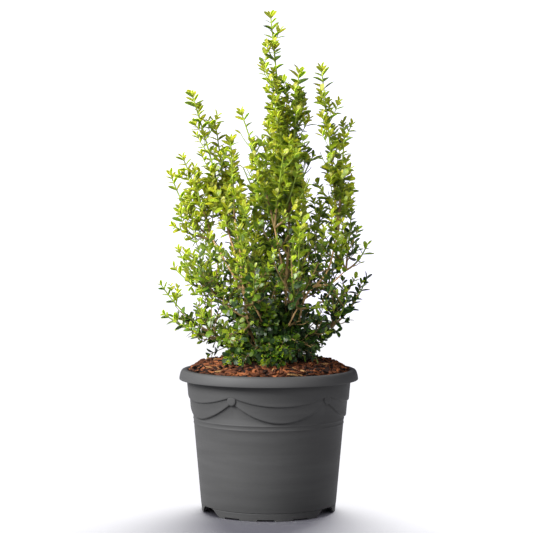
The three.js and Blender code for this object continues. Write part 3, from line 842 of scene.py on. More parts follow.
@dataclass
class Filling:
    """The potting mix, which is the CAD's own solid, and the mounded layer of bark chips on it."""

    bed_sides: int = 120
    bed_bumps: float = 2.4
    bump_size: float = 9
    bed_crease: float = 50
    # The bed's underside and side, as radius and height, and the radii of the rings over its top
    bed_wall: Outline = ((60, 192.3), (119.2, 192.3), (121.0, 212), (121.3, 217))
    bed_edge: float = 120.6
    bed_steps: Series = (117, 112, 106, 100, 94, 88, 82, 76, 70, 64, 58, 52, 46, 40, 34, 28, 22)
    radii: Series = (0, 34, 50, 80, 104, 117, 124)
    heights: Series = (236.5, 236.5, 237, 234.5, 229.5, 224, 219)
    chip_count: int = 2600
    chip_seed: int = 5
    chip_length: Span = (7, 22)
    chip_width: Span = (2, 6)
    chip_thickness: Span = (1.2, 3)
    chip_stretch: Span = (0.7, 1.15)
    chip_lift: Span = (-1.4, 3.2)
    chip_reach: float = 123.5
    chip_crease: float = 35
    edge_band: float = 6
    edge_turn: float = 0.5
    angle_spread: float = 0.6
    tilt: float = 0.8
    roll: float = 1.3
    slope_step: float = 3
    tone_limits: Series = (0.34, 0.72, 0.96)
    trunk_place: Span = (10.0, 0.0)
    trunk_room: float = 17.0
    shapes: int = 5
    shape_smoothness: float = 0.35
    shape_knocks: float = 0.17
    shape_evenness: float = 0.3

    def surface(self, radius: float) -> float:
        """The height of the bed at a distance from the axis."""
        return float(np.interp(radius, self.radii, self.heights))

    def bumpy(self, radius: float) -> Ring:
        """A ring of the bed's top, with bumps all round it."""

        def at(angle: float) -> Span:
            """The ring's radius and height at an angle."""
            place = Vector((radius * math.cos(angle), radius * math.sin(angle), 3.0)) / self.bump_size
            return radius, self.surface(radius) + self.bed_bumps * noise.noise(place)

        return Ring(radius, self.surface(radius), at)

    def bed(self) -> Piece:
        """Models the dark bed under the chips."""
        wall = [Ring(radius, height) for radius, height in self.bed_wall]
        top = [self.bumpy(radius) for radius in (self.bed_edge, *self.bed_steps)]
        return turned_body("mulch_bed", wall + top, self.bed_sides)

    def chip_pattern(self, seed: int) -> Pattern:
        """Models one chip as by hand: a split block with knocked corners.

        Args:
            seed: Starts the knocks.

        Returns:
            The chip, about one unit a side.
        """
        bpy.ops.object.select_all(action="DESELECT")
        bpy.ops.mesh.primitive_cube_add(size=1)
        chip = bpy.context.active_object
        bpy.ops.object.mode_set(mode="EDIT")
        bpy.ops.mesh.subdivide(number_cuts=1, smoothness=self.shape_smoothness)
        bpy.ops.transform.vertex_random(
            offset=self.shape_knocks, uniform=self.shape_evenness, seed=seed
        )
        bpy.ops.object.mode_set(mode="OBJECT")
        corners = np.array([vertex.co[:] for vertex in chip.data.vertices])
        faces = [tuple(face.vertices) for face in chip.data.polygons]
        bpy.data.objects.remove(chip)
        return Pattern(corners, faces, [0] * len(faces))

    def place_chip(self, index: int, pattern: Pattern, draw: Draw) -> tuple[int, Point] | None:
        """Lays one chip on the bed, flat in its slope but for a little tilt and roll.

        Args:
            index: Its number, which spreads the chips evenly over the bed.
            pattern: Its shape.
            draw: The source of random numbers.

        Returns:
            Its tone and its corners, or None where the trunk stands.
        """
        angle = index * math.radians(GOLDEN_ANGLE) + self.angle_spread * draw()
        radius = self.chip_reach * math.sqrt((index + 0.5) / self.chip_count)
        size = np.array(
            [mix(*span, draw()) for span in (self.chip_length, self.chip_width, self.chip_thickness)]
        )
        size[0] = max(size[0] * mix(*self.chip_stretch, draw()), size[1])
        lift = mix(*self.chip_lift, draw())
        turn, lean, roll = draw() * TURN, jitter(self.tilt, draw), jitter(self.roll * self.tilt, draw)
        tone = draw()
        x, y = radius * math.cos(angle), radius * math.sin(angle)
        if math.hypot(x - self.trunk_place[0], y - self.trunk_place[1]) < self.trunk_room:
            return None
        step = self.slope_step
        slope = math.atan((self.surface(radius + step) - self.surface(radius - step)) / (2 * step))
        if radius > self.chip_reach - self.edge_band:
            turn = angle + math.pi / 2 + self.edge_turn * (turn / TURN - 0.5)
        rise = math.sin(lean) + slope * math.cos(turn - angle)
        heading = unit(np.array((math.cos(turn), math.sin(turn), rise)))
        side = unit(cross(np.array((math.sin(roll), 0, 1.0)), heading))
        top = cross(heading, side)
        spot = np.array((x, y, self.surface(radius) + lift))
        corners = pattern.corners * size
        block = spot + corners[:, :1] * heading + corners[:, 1:2] * side + corners[:, 2:] * top
        return sum(tone >= limit for limit in self.tone_limits), block

    def chips(self) -> list[Piece]:
        """Strews the chips over the bed, one object a tone.

        Returns:
            The objects, from the darkest tone to the palest.
        """
        draw = make_random(self.chip_seed)
        patterns = [self.chip_pattern(seed + 1) for seed in range(self.shapes)]
        placed: dict[tuple[int, int], list[Point]] = {}
        for index in range(self.chip_count):
            shape = index % self.shapes
            chip = self.place_chip(index, patterns[shape], draw)
            if chip:
                tone, block = chip
                placed.setdefault((tone, shape), []).append(block)
        pieces = []
        for tone, finish in enumerate(CHIP_FINISHES):
            joined = JoinedMesh(f"mulch_chips_{tone + 1}")
            for shape, pattern in enumerate(patterns):
                joined.add(pattern, np.array(placed[tone, shape]))
            pieces.append(joined.build([finish.build()], self.chip_crease))
        return pieces

    def build(self, nodes: dict[str, Piece]) -> None:
        """Dresses the potting mix and lays the mulch.

        Args:
            nodes: The CAD nodes by name.
        """
        filling = nodes["potting_mix"]
        filling.data.materials.clear()
        filling.data.materials.append(MIX_FINISH.build())
        bed = self.bed()
        select_only(bed)
        bpy.ops.object.shade_smooth_by_angle(angle=math.radians(self.bed_crease))
        bed.data.materials.append(BED_FINISH.build())
        for piece in [bed, *self.chips()]:
            seat(piece, Slot.CHIPS, ["bark_mulch"])


# Stems

# A direction that no shoot follows, from which the turns round a shoot are counted
ASIDE = np.array((0.31, 0.94, 0.14))
UP = np.array((0.0, 0.0, 1.0))

# How far along its first heading a side shoot's control point and end lie, and how far its end lies up,
# as shares of its reach
SIDE_BEND = 0.55
SIDE_OUT = 0.9
SIDE_RISE = 0.3


class Path:
    """A curve in space."""

    def point(self, t: float) -> Point:
        """The place at a share of the curve."""
        raise NotImplementedError

    def slope(self, t: float) -> Point:
        """The way that the place moves with the share."""
        raise NotImplementedError

    def heading(self, t: float) -> Point:
        """The direction at a share of the curve."""
        return unit(self.slope(t))

    def points(self, shares: Sequence[float]) -> list[Point]:
        """The places at some shares of the curve."""
        return [self.point(t) for t in shares]

    def length(self) -> float:
        """The length along the curve."""
        places = np.array(self.points(np.linspace(0, 1, 41)))
        return float(np.linalg.norm(np.diff(places, axis=0), axis=1).sum())

    def spaced(self, step: float) -> list[float]:
        """Even shares from end to end of the curve, no further apart than a step."""
        count = math.ceil(self.length() / step)
        return [i / count for i in range(count + 1)]


@dataclass
class Bend(Path):
    """A curve bent by one control point."""

    start: Point
    middle: Point
    end: Point

    def point(self, t: float) -> Point:
        """The place at a share of the curve."""
        return (1 - t) ** 2 * self.start + 2 * t * (1 - t) * self.middle + t * t * self.end

    def slope(self, t: float) -> Point:
        """The way that the place moves with the share."""
        return 2 * (1 - t) * (self.middle - self.start) + 2 * t * (self.end - self.middle)

    def trimmed(self, t: float) -> "Bend":
        """The curve from its start to a share of it."""
        return Bend(self.start, self.start + (self.middle - self.start) * t, self.point(t))

    def scaled(self, share: float) -> "Bend":
        """The same curve at a share of its size, from the same start."""
        middle, end = (self.start + (place - self.start) * share for place in (self.middle, self.end))
        return Bend(self.start, middle, end)


@dataclass
class Through(Path):
    """A smooth curve through points, each stretch taking the same share."""

    places: list[Point]

    def stretch(self, t: float) -> tuple[tuple[Point, Point, Point, Point], float]:
        """The end places, end slopes and share within the stretch that holds a share of the curve."""
        count = len(self.places) - 1
        index = min(int(t * count), count - 1)
        a, b = self.places[index], self.places[index + 1]
        before = self.places[index - 1] if index else 2 * a - b
        after = self.places[index + 2] if index + 2 <= count else 2 * b - a
        return (a, b, (b - before) / 2, (after - a) / 2), t * count - index

    def point(self, t: float) -> Point:
        """The place at a share of the curve."""
        (a, b, out_of_a, into_b), u = self.stretch(t)
        rise = u * u * (3 - 2 * u)
        return a + (b - a) * rise + out_of_a * (u * (1 - u) ** 2) - into_b * (u * u * (1 - u))

    def slope(self, t: float) -> Point:
        """The way that the place moves with the share."""
        step = 1e-4
        low, high = max(0.0, t - step), min(1.0, t + step)
        return (self.point(high) - self.point(low)) / (high - low)


def frame_at(path: Path, t: float) -> tuple[Point, Point, Point]:
    """The heading at a share of a curve, and the two directions from which turns round it are counted."""
    heading = path.heading(t)
    across = unit(cross(heading, ASIDE))
    return heading, across, cross(across, heading)


def out_at(across: Point, other: Point, turn: float) -> Point:
    """The way out from a shoot at a turn round it."""
    return across * math.cos(turn) + other * math.sin(turn)


def reach_to(step: Point) -> float:
    """The reach with which a side shoot ends a step away from its start."""
    share = SIDE_OUT**2 - SIDE_RISE**2
    rise = 2 * SIDE_RISE * step[2]
    return (math.sqrt(rise**2 + 4 * share * float(step @ step)) - rise) / (2 * share)


def tube_pattern(sides: int, steps: int, finishes: Sequence[int] | None = None) -> Pattern:
    """The faces of a closed tube.

    Args:
        sides: Sides round it.
        steps: Steps along it.
        finishes: The finish of each step.

    Returns:
        The pattern, without corners.
    """
    finishes = finishes or [0] * steps
    faces, dealt = [], []
    for k in range(steps):
        for j in range(sides):
            after = (j + 1) % sides
            faces.append((k * sides + j, k * sides + after, (k + 1) * sides + after, (k + 1) * sides + j))
            dealt.append(finishes[k])
    faces.append(tuple(reversed(range(sides))))
    faces.append(tuple(range(steps * sides, (steps + 1) * sides)))
    return Pattern(np.zeros((0, 3)), faces, dealt + [finishes[0], finishes[-1]])


def tube_corners(path: Path, radius_at: Callable[[float], float], sides: int, steps: int) -> Point:
    """The corners of a tube along a curve, ring after ring.

    Args:
        path: Its centreline.
        radius_at: Its radius at a share of its length.
        sides: Sides round it.
        steps: Steps along it.

    Returns:
        The corners, as rows of three.
    """
    turns = np.arange(sides) * (TURN / sides)
    rings = []
    for share in np.linspace(0, 1, steps + 1):
        heading, across, other = frame_at(path, float(share))
        ring = np.cos(turns)[:, None] * across - np.sin(turns)[:, None] * other
        rings.append(path.point(float(share)) + ring * radius_at(float(share)))
    return np.concatenate(rings)


def add_tube(
    joined: JoinedMesh, path: Path, radius_at: Callable[[float], float], sides: int, steps: int
) -> None:
    """Adds one closed tube along a curve.

    Args:
        joined: The mesh that takes it.
        path: Its centreline.
        radius_at: Its radius at a share of its length.
        sides: Sides round it.
        steps: Steps along it.
    """
    joined.add(tube_pattern(sides, steps), tube_corners(path, radius_at, sides, steps)[None])


@dataclass(frozen=True)
class Limb:
    """One tapering limb: its radii at both ends, and the points that it passes."""

    radii: Span
    way: tuple[Place, ...]

    def path(self) -> Through:
        """Its centreline."""
        return Through([np.array(place, float) for place in self.way])

    def radius(self, share: float) -> float:
        """Its radius at a share of its length."""
        return mix(*self.radii, share)

    def beyond(self, reach: float) -> Point:
        """A point past its end, in line with it."""
        before, end = (np.array(place, float) for place in self.way[-2:])
        return end + unit(end - before) * reach


LIMBS = {
    "centre": Limb((4.8, 2.9), ((11, 1, 248), (14, 2, 272), (25, 3, 309), (27, 2, 351), (31, 0, 440))),
    "left": Limb((4.1, 2.2), ((9, -1, 248), (-21, -6, 263), (-33, -8, 304), (-43, -5, 368), (-60, -3, 425))),
    "right": Limb((4, 2.2), ((12, -1, 247), (38, -4, 264), (57, -4, 335), (90, -2, 372), (106, -2, 430))),
    "front": Limb((3.6, 2.2), ((10, -2, 248), (6, -32, 264), (-10, -56, 300), (-20, -64, 320))),
    "back": Limb((3.6, 2.2), ((10, 2, 248), (4, 32, 266), (-10, 52, 300), (-20, 60, 325))),
    "left_inner": Limb((2.8, 2), ((-42, -5, 362), (-44, -16, 400), (-52, -24, 450))),
    "left_shoulder": Limb((2.9, 2), ((-38, -6, 338), (-62, -10, 380), (-84, -12, 418))),
    "left_flank": Limb((2.8, 2), ((-32, -8, 300), (-52, -14, 312), (-74, -16, 332))),
    "left_skirt": Limb((2.7, 2), ((-17, -6, 261), (-40, -20, 260), (-58, -24, 266))),
    "front_right": Limb((2.8, 2), ((4, -34, 267), (26, -52, 288), (40, -62, 314))),
    "back_right": Limb((2.8, 2), ((4, 33, 268), (30, 48, 290), (46, 56, 318))),
    "front_upper": Limb((3, 2.1), ((27, 2, 345), (20, -30, 385), (10, -50, 436))),
    "back_upper": Limb((3, 2.1), ((28, 1, 372), (28, 26, 400), (24, 42, 438))),
    "right_flank": Limb((2.7, 2), ((72, -3, 352), (96, -12, 356), (114, -16, 372))),
    "right_skirt": Limb((2.7, 2), ((45, -4, 285), (66, -10, 276), (86, -12, 284))),
}


@dataclass
class Stems:
    """The trunk and its limbs, grown together, with the relief of their bark."""

    foot: Place = (10, 0, 232)
    lean: Span = (1.5, 0.5)
    height: float = 20
    foot_height: float = 236.3
    flare_radius: float = 20
    head_radius: float = 12.5
    rounding: float = 2.5
    shoulder: float = 0.72
    head_taper: float = 0.55
    trunk_sides: int = 24
    trunk_steps: int = 12
    limb_sides: int = 12
    limb_step: float = 3.5
    fewest_steps: int = 6
    slimness: float = 0.66
    collar: float = 0.35
    collar_length: float = 7
    node_swelling: float = 0.25
    node_spacing: float = 5.2
    root: float = -2
    joint: float = 9
    joint_steps: int = 4
    voxel: float = 1.15
    smoothing: float = 0.5
    fissure_depth: float = 0.42
    # The bark's two fissure patterns: their width, their length and their share of the depth
    fissures: tuple[Place, ...] = ((2.2, 13, 1.0), (1.1, 5, 0.5))

    def trunk_radius(self, share: float) -> float:
        """The trunk's radius at a share of its height."""
        flare = (self.flare_radius - self.head_radius) * max(0.0, 1 - share) ** 3
        return self.head_radius + flare - self.rounding * max(0.0, share) ** 6

    def trunk(self, joined: JoinedMesh) -> None:
        """Adds the flared, leaning stool that the limbs leave."""
        x, y, _ = self.foot
        low = np.array(self.foot, float)
        high = np.array((x + self.lean[0], y + self.lean[1], self.foot_height + self.height))
        path = Bend(low, (low + high) / 2, high)

        def radius_at(t: float) -> float:
            """The stool's radius at a share of its height, drawn in over its shoulder."""
            share = (path.point(t)[2] - self.foot_height) / self.height
            drawn_in = self.head_taper * max(0.0, share - self.shoulder) / (1 - self.shoulder)
            return self.trunk_radius(share) * (1 - drawn_in)

        add_tube(joined, path, radius_at, self.trunk_sides, self.trunk_steps)

    def limb(self, limb: Limb, joined: JoinedMesh, order: int) -> None:
        """Adds one limb, a little swollen where it leaves its parent and at its nodes, and its tip.

        Args:
            limb: The limb.
            joined: The mesh that takes it.
            order: Its number, which shifts its nodes.
        """
        path = limb.path()
        length = path.length()

        def radius_at(t: float) -> float:
            """The limb's radius at a share of its length."""
            collar = self.collar * math.exp(-t * length / self.collar_length)
            node = self.node_swelling * max(0.0, math.sin(t * length / self.node_spacing + order)) ** 6
            return limb.radius(t) * (self.slimness + collar) + node

        steps = max(self.fewest_steps, round(length / self.limb_step))
        add_tube(joined, path, radius_at, self.limb_sides, steps)
        root, end = limb.beyond(self.root), limb.beyond(self.joint)
        tip = Bend(root, (root + end) / 2, end)
        add_tube(joined, tip, lambda _: limb.radius(1) * self.slimness, self.limb_sides, self.joint_steps)

    def build(self) -> None:
        """Grows the stems together, roughens them and dresses them."""
        joined = JoinedMesh("stems")
        self.trunk(joined)
        for order, limb in enumerate(LIMBS.values()):
            self.limb(limb, joined, order)
        stems = joined.build([], 180)
        apply_modifier(stems, "REMESH", mode="VOXEL", voxel_size=self.voxel * MM, use_smooth_shade=True)
        apply_modifier(stems, "SMOOTH", factor=self.smoothing, iterations=2)
        self.roughen(stems)
        stems.data.materials.append(STEM_FINISH.build())
        seat(stems, Slot.BARK, ["trunk"] + [f"bough_{name}" for name in LIMBS])

    def roughen(self, stems: Piece) -> None:
        """Cuts long shallow fissures into the bark."""
        count = len(stems.data.vertices)
        places, normals = np.empty(count * 3, np.float32), np.empty(count * 3, np.float32)
        stems.data.vertices.foreach_get("co", places)
        stems.data.vertex_normals.foreach_get("vector", normals)
        depths = np.empty((count, 1), np.float32)
        for index, (x, y, z) in enumerate(places.reshape(-1, 3) / MM):
            depths[index] = sum(
                share * noise.noise(Vector((x / width, y / width, z / length)))
                for width, length, share in self.fissures
            )
        moved = places.reshape(-1, 3) + normals.reshape(-1, 3) * depths * (self.fissure_depth * MM)
        stems.data.vertices.foreach_set("co", moved.ravel())
        stems.data.update()


# Crown


@dataclass(frozen=True)
class Mass:
    """One mass of leaves: the limb that it ends, the seed of its growth, and its leaders' tips."""

    limb: str
    seed: int
    tips: tuple[Place, ...]


MASSES = {
    "top": Mass("centre", 101, ((1, 0, 781), (47, -10, 693), (14, 36, 655))),
    "left_leader": Mass("left", 102, ((-122, -8, 656), (-84, 22, 604))),
    "right_leader": Mass("right", 103, ((81, -4, 691), (117, -16, 588), (122, 18, 551))),
    "front_upper": Mass("front_upper", 104, ((-41, -66, 614), (22, -94, 556), (62, -72, 520))),
    "back_upper": Mass("back_upper", 105, ((12, 76, 590), (72, 66, 560), (-42, 78, 540))),
    "left_inner": Mass("left_inner", 106, ((-60, -34, 584), (-82, -84, 500))),
    "left_shoulder": Mass("left_shoulder", 107, ((-135, -16, 554), (-152, 8, 520), (-148, -24, 446))),
    "left_flank": Mass("left_flank", 108, ((-140, -12, 406), (-150, 22, 380), (-112, -72, 400))),
    "left_skirt": Mass("left_skirt", 109, ((-166, 4, 349), (-158, -24, 306), (-104, -88, 310))),
    "right_flank": Mass("right_flank", 110, ((148, -8, 406), (130, 12, 468), (104, -72, 430))),
    "right_skirt": Mass("right_skirt", 111, ((148, 2, 352), (118, -62, 332), (124, 40, 330))),
    "front_left": Mass("front", 112, ((-46, -118, 446), (-22, -146, 372), (-62, -130, 322))),
    "front_right": Mass("front_right", 113, ((46, -120, 446), (34, -146, 372), (82, -112, 326))),
    "back_left": Mass("back", 114, ((-60, 112, 456), (-30, 144, 384), (-104, 92, 370))),
    "back_right": Mass("back_right", 115, ((70, 110, 456), (36, 146, 384), (108, 92, 380))),
}


@dataclass
class Shoot:
    """One shoot: its curve, radii at both ends, forks from its limb, leafy length, tone and number."""

    path: Bend
    radii: Span
    order: int
    reach: float
    tone: float = 0.5
    serial: int = 0


@dataclass(frozen=True)
class Branching:
    """How finer shoots leave a shoot: in opposite pairs at its nodes, shorter towards its tip.

    A jitter is how far a place, turn, slant or tone may differ, all told. The margin is by how much a
    shoot stays inside its own mass's space, or passes out of it where it is negative.
    """

    spacing: float
    first: float
    bare_tip: float
    chance: float
    share: float
    shortest: float
    longest: float
    slant: float
    tip_chance: float = 1.0
    ripening: float = 1.0
    length_spread: Span = (0.6, 1.2)
    place_jitter: float = 0.3
    turn_jitter: float = 0.7
    slant_jitter: float = 14
    tone_jitter: float = 0.3
    margin: float = -14


@dataclass(frozen=True)
class SideRule:
    """How a side shoot of the solids leaves its leader, turned on by the golden angle from the last."""

    spacing: float = 84
    length: Span = (82, 50)
    spread: Span = (0.75, 1.15)
    slant: float = 52
    radii: Span = (1.35, 0.85)
    turn_spread: float = 0.5
    first: float = 0.55
    last: float = 0.35
    margin: float = 3.6
    growth: Span = (0.2, 260)


@dataclass(frozen=True)
class Opening:
    """A gap that lets the sky through, seen from the front: its middle and half sizes across and up."""

    x: float
    z: float
    half_width: float
    half_height: float

    def holds(self, place: Point) -> bool:
        """True where a place lies in the gap."""
        across, up = (place[0] - self.x) / self.half_width, (place[2] - self.z) / self.half_height
        return across**2 + up**2 < 1


def gaps_from(*rows: tuple[float, float, float, float]) -> tuple[Opening, ...]:
    """Openings from rows of their four numbers."""
    return tuple(Opening(*row) for row in rows)


@dataclass(frozen=True)
class Infill:
    """The shoots that fill the crown between its leaders, each grown to a spot that is still bare.

    At each of the heights, `apart` is how far a spot lies from all shoots, `rooms` how far from a leader or
    limb it may lie, and `overtops` how far above that one. A shoot's start costs its distance, more with
    a sharp turn and less with a rise. No shoot ends in an opening, and no leaf stands in a clearing.
    """

    tries: int = 17000
    seed: int = 77
    border: float = 14
    heights: Series = (240, 300, 450, 560, 640, 700, 781)
    apart: Series = (9.5, 11, 15.6, 20, 25, 26, 26)
    rooms: Series = (50, 50, 40, 26, 26, 24, 16)
    overtops: Series = (60, 60, 44, 8, 2, 1, 1)
    crowding: Span = (0.66, 1.42)
    rim: float = 130
    core: float = 58
    overhang: float = -3
    lowest: float = 240
    reach: Span = (24, 88)
    steepest_turn: float = 66
    deepest_drop: float = -0.35
    turn_cost: float = 1.9
    rise_gain: float = 0.35
    limb_clearance: float = 2.5
    woody_reach: float = 50
    start_span: Span = (0.1, 0.95)
    start_step: float = 10
    fewest_starts: int = 3
    new_starts: Series = (0.4, 0.6, 0.8, 0.97)
    openings: tuple[Opening, ...] = gaps_from(
        (83, 569, 11, 16), (64, 530, 15, 20), (103, 548, 6, 12), (92, 500, 9, 11), (120, 520, 7, 10),
        (112, 478, 8, 9), (-36, 560, 11, 62), (-30, 640, 24, 60), (-142, 366, 15, 8), (-136, 323, 19, 8),
        (-116, 356, 9, 7), (124, 386, 12, 9),
    )
    clearings: tuple[Opening, ...] = gaps_from(
        (83, 567, 9, 15), (63, 530, 14, 17), (103, 548, 4, 10), (92, 500, 7, 9), (120, 520, 5, 8),
        (112, 478, 6, 7), (-38, 560, 8, 50), (-142, 366, 13, 7), (-136, 323, 16, 7), (-116, 356, 8, 6),
        (124, 386, 11, 8),
    )

    def at(self, values: Sequence[float], height: float) -> float:
        """One of the rules' values at a height."""
        return float(np.interp(height, self.heights, values))


@dataclass(frozen=True)
class Fan:
    """Low shoots that spread over the mulch: their directions round from the front, reach and lift."""

    spread: Span
    reach: Span
    lift: Span


@dataclass(frozen=True)
class LowRule:
    """The low shoots, all round and, in turn with them, in fans to the front, upward and to the right."""

    count: int = 132
    reach: Span = (42, 106)
    lift: Span = (7, 34)
    back_reach: float = 0.78
    angle_spread: float = 0.4
    feet_height: float = 285
    foot_weights: Place = (0.35, 0.35, 1.06)
    arch: Span = (6, 16)
    tones: Span = (0.2, 0.7)
    fans: tuple[Fan | None, ...] = (
        Fan((-42, 12), (78, 112), (5, 16)),
        Fan((-30, 62), (48, 90), (44, 96)),
        Fan((0, 68), (58, 104), (8, 38)),
        None,
    )


@dataclass(frozen=True)
class YouthAndPaintedLight:
    """Where the young growth is, most at the top and outside, with painted light on the left and painted
    shade low down on the right.
    """

    heights: Span = (300, 540)
    from_height: float = 0.48
    rim: float = 150
    # Low down and inside, leaves are older and darker, partly real and partly painted shade
    low_inside: float = -0.28
    low_outside: float = 0.36
    high_outside: float = 0.16
    # Painted light: the lit left side gets younger, paler leaves
    painted_light_from_left: float = 0.32
    base: float = 0.06
    # Painted shade: the low right side gets older, darker leaves
    right_shade: float = 0.16

    def at(self, place: Point) -> float:
        """How young the growth at a place is, with painted light and shade in it, about from 0 to 1."""
        height = ramp(place[2], *self.heights)
        height = height * height * (3 - 2 * height)
        outside = min(1.0, math.hypot(place[0], place[1]) / self.rim)
        # Painted light, more towards the left, the lit side
        left = 0.5 - place[0] / (2 * self.rim)
        shade = self.right_shade * max(0.0, place[0] / self.rim) * (1 - height)
        out = mix(self.low_outside * outside + self.low_inside, self.high_outside * outside, height)
        return self.from_height * height + out + self.painted_light_from_left * left + self.base - shade


@dataclass(frozen=True)
class Leafing:
    """How leaves sit on a shoot: the gap between pairs, the bare foot, and the leaves' length."""

    spacing: float
    bare_foot: float
    length: Span


@dataclass(frozen=True)
class LeafRule:
    """How a leaf's direction, size and age follow from its place and from how near its shoot's tip it is; the
    age, which gives the colour, carries painted light and shade from the place.

    Pairs of values go from well below the tip to the tip, or are the ends of a random spread. The leaves
    low down and inside are a little smaller, and those of the high leaders a little larger.
    """

    turn: float = 0.35
    turn_jitter: float = 0.5
    slants: Span = (62, 26)
    slant_jitter: float = 18
    lift: float = 0.12
    level: Span = (0.25, 0.55)
    level_at_tip: float = 0.6
    sizes: Span = (0.74, 1.18)
    tip_size: float = 0.62
    widths: Span = (0.42, 0.64)
    full_heights: Span = (360, 520)
    outer_radii: Span = (70, 130)
    low_sizes: Span = (0.86, 0.95)
    low_widths: Span = (0.92, 1.05)
    high_heights: Span = (600, 680)
    high_size: float = 1.1
    high_width: float = 1.12
    tone_youth: float = 0.55
    tip_youth: Span = (0.08, 0.34)
    tip_heights: Span = (250, 370)
    age_jitter: float = 0.44
    ages: tuple[tuple[float, Age], ...] = ((0.85, Age.LIME), (0.53, Age.FRESH), (0.21, Age.SUMMER))
    middle: float = 0.6
    mulch_gap: float = 1.5
    folds: Span = (0.04, 0.22)
    curls: Span = (0.03, 0.3)

    def age_of(self, youth_and_light: float) -> Age:
        """The age of a leaf by its youth, with the painted light and shade in it."""
        return next((age for least, age in self.ages if youth_and_light > least), Age.OLD)


@dataclass
class Leaf:
    """One leaf: its root, the way it points, its upper side's normal, and its length, width and bends."""

    root: Point
    along: Point
    up: Point
    length: float
    width: float
    fold: float
    curl: float
    age: Age


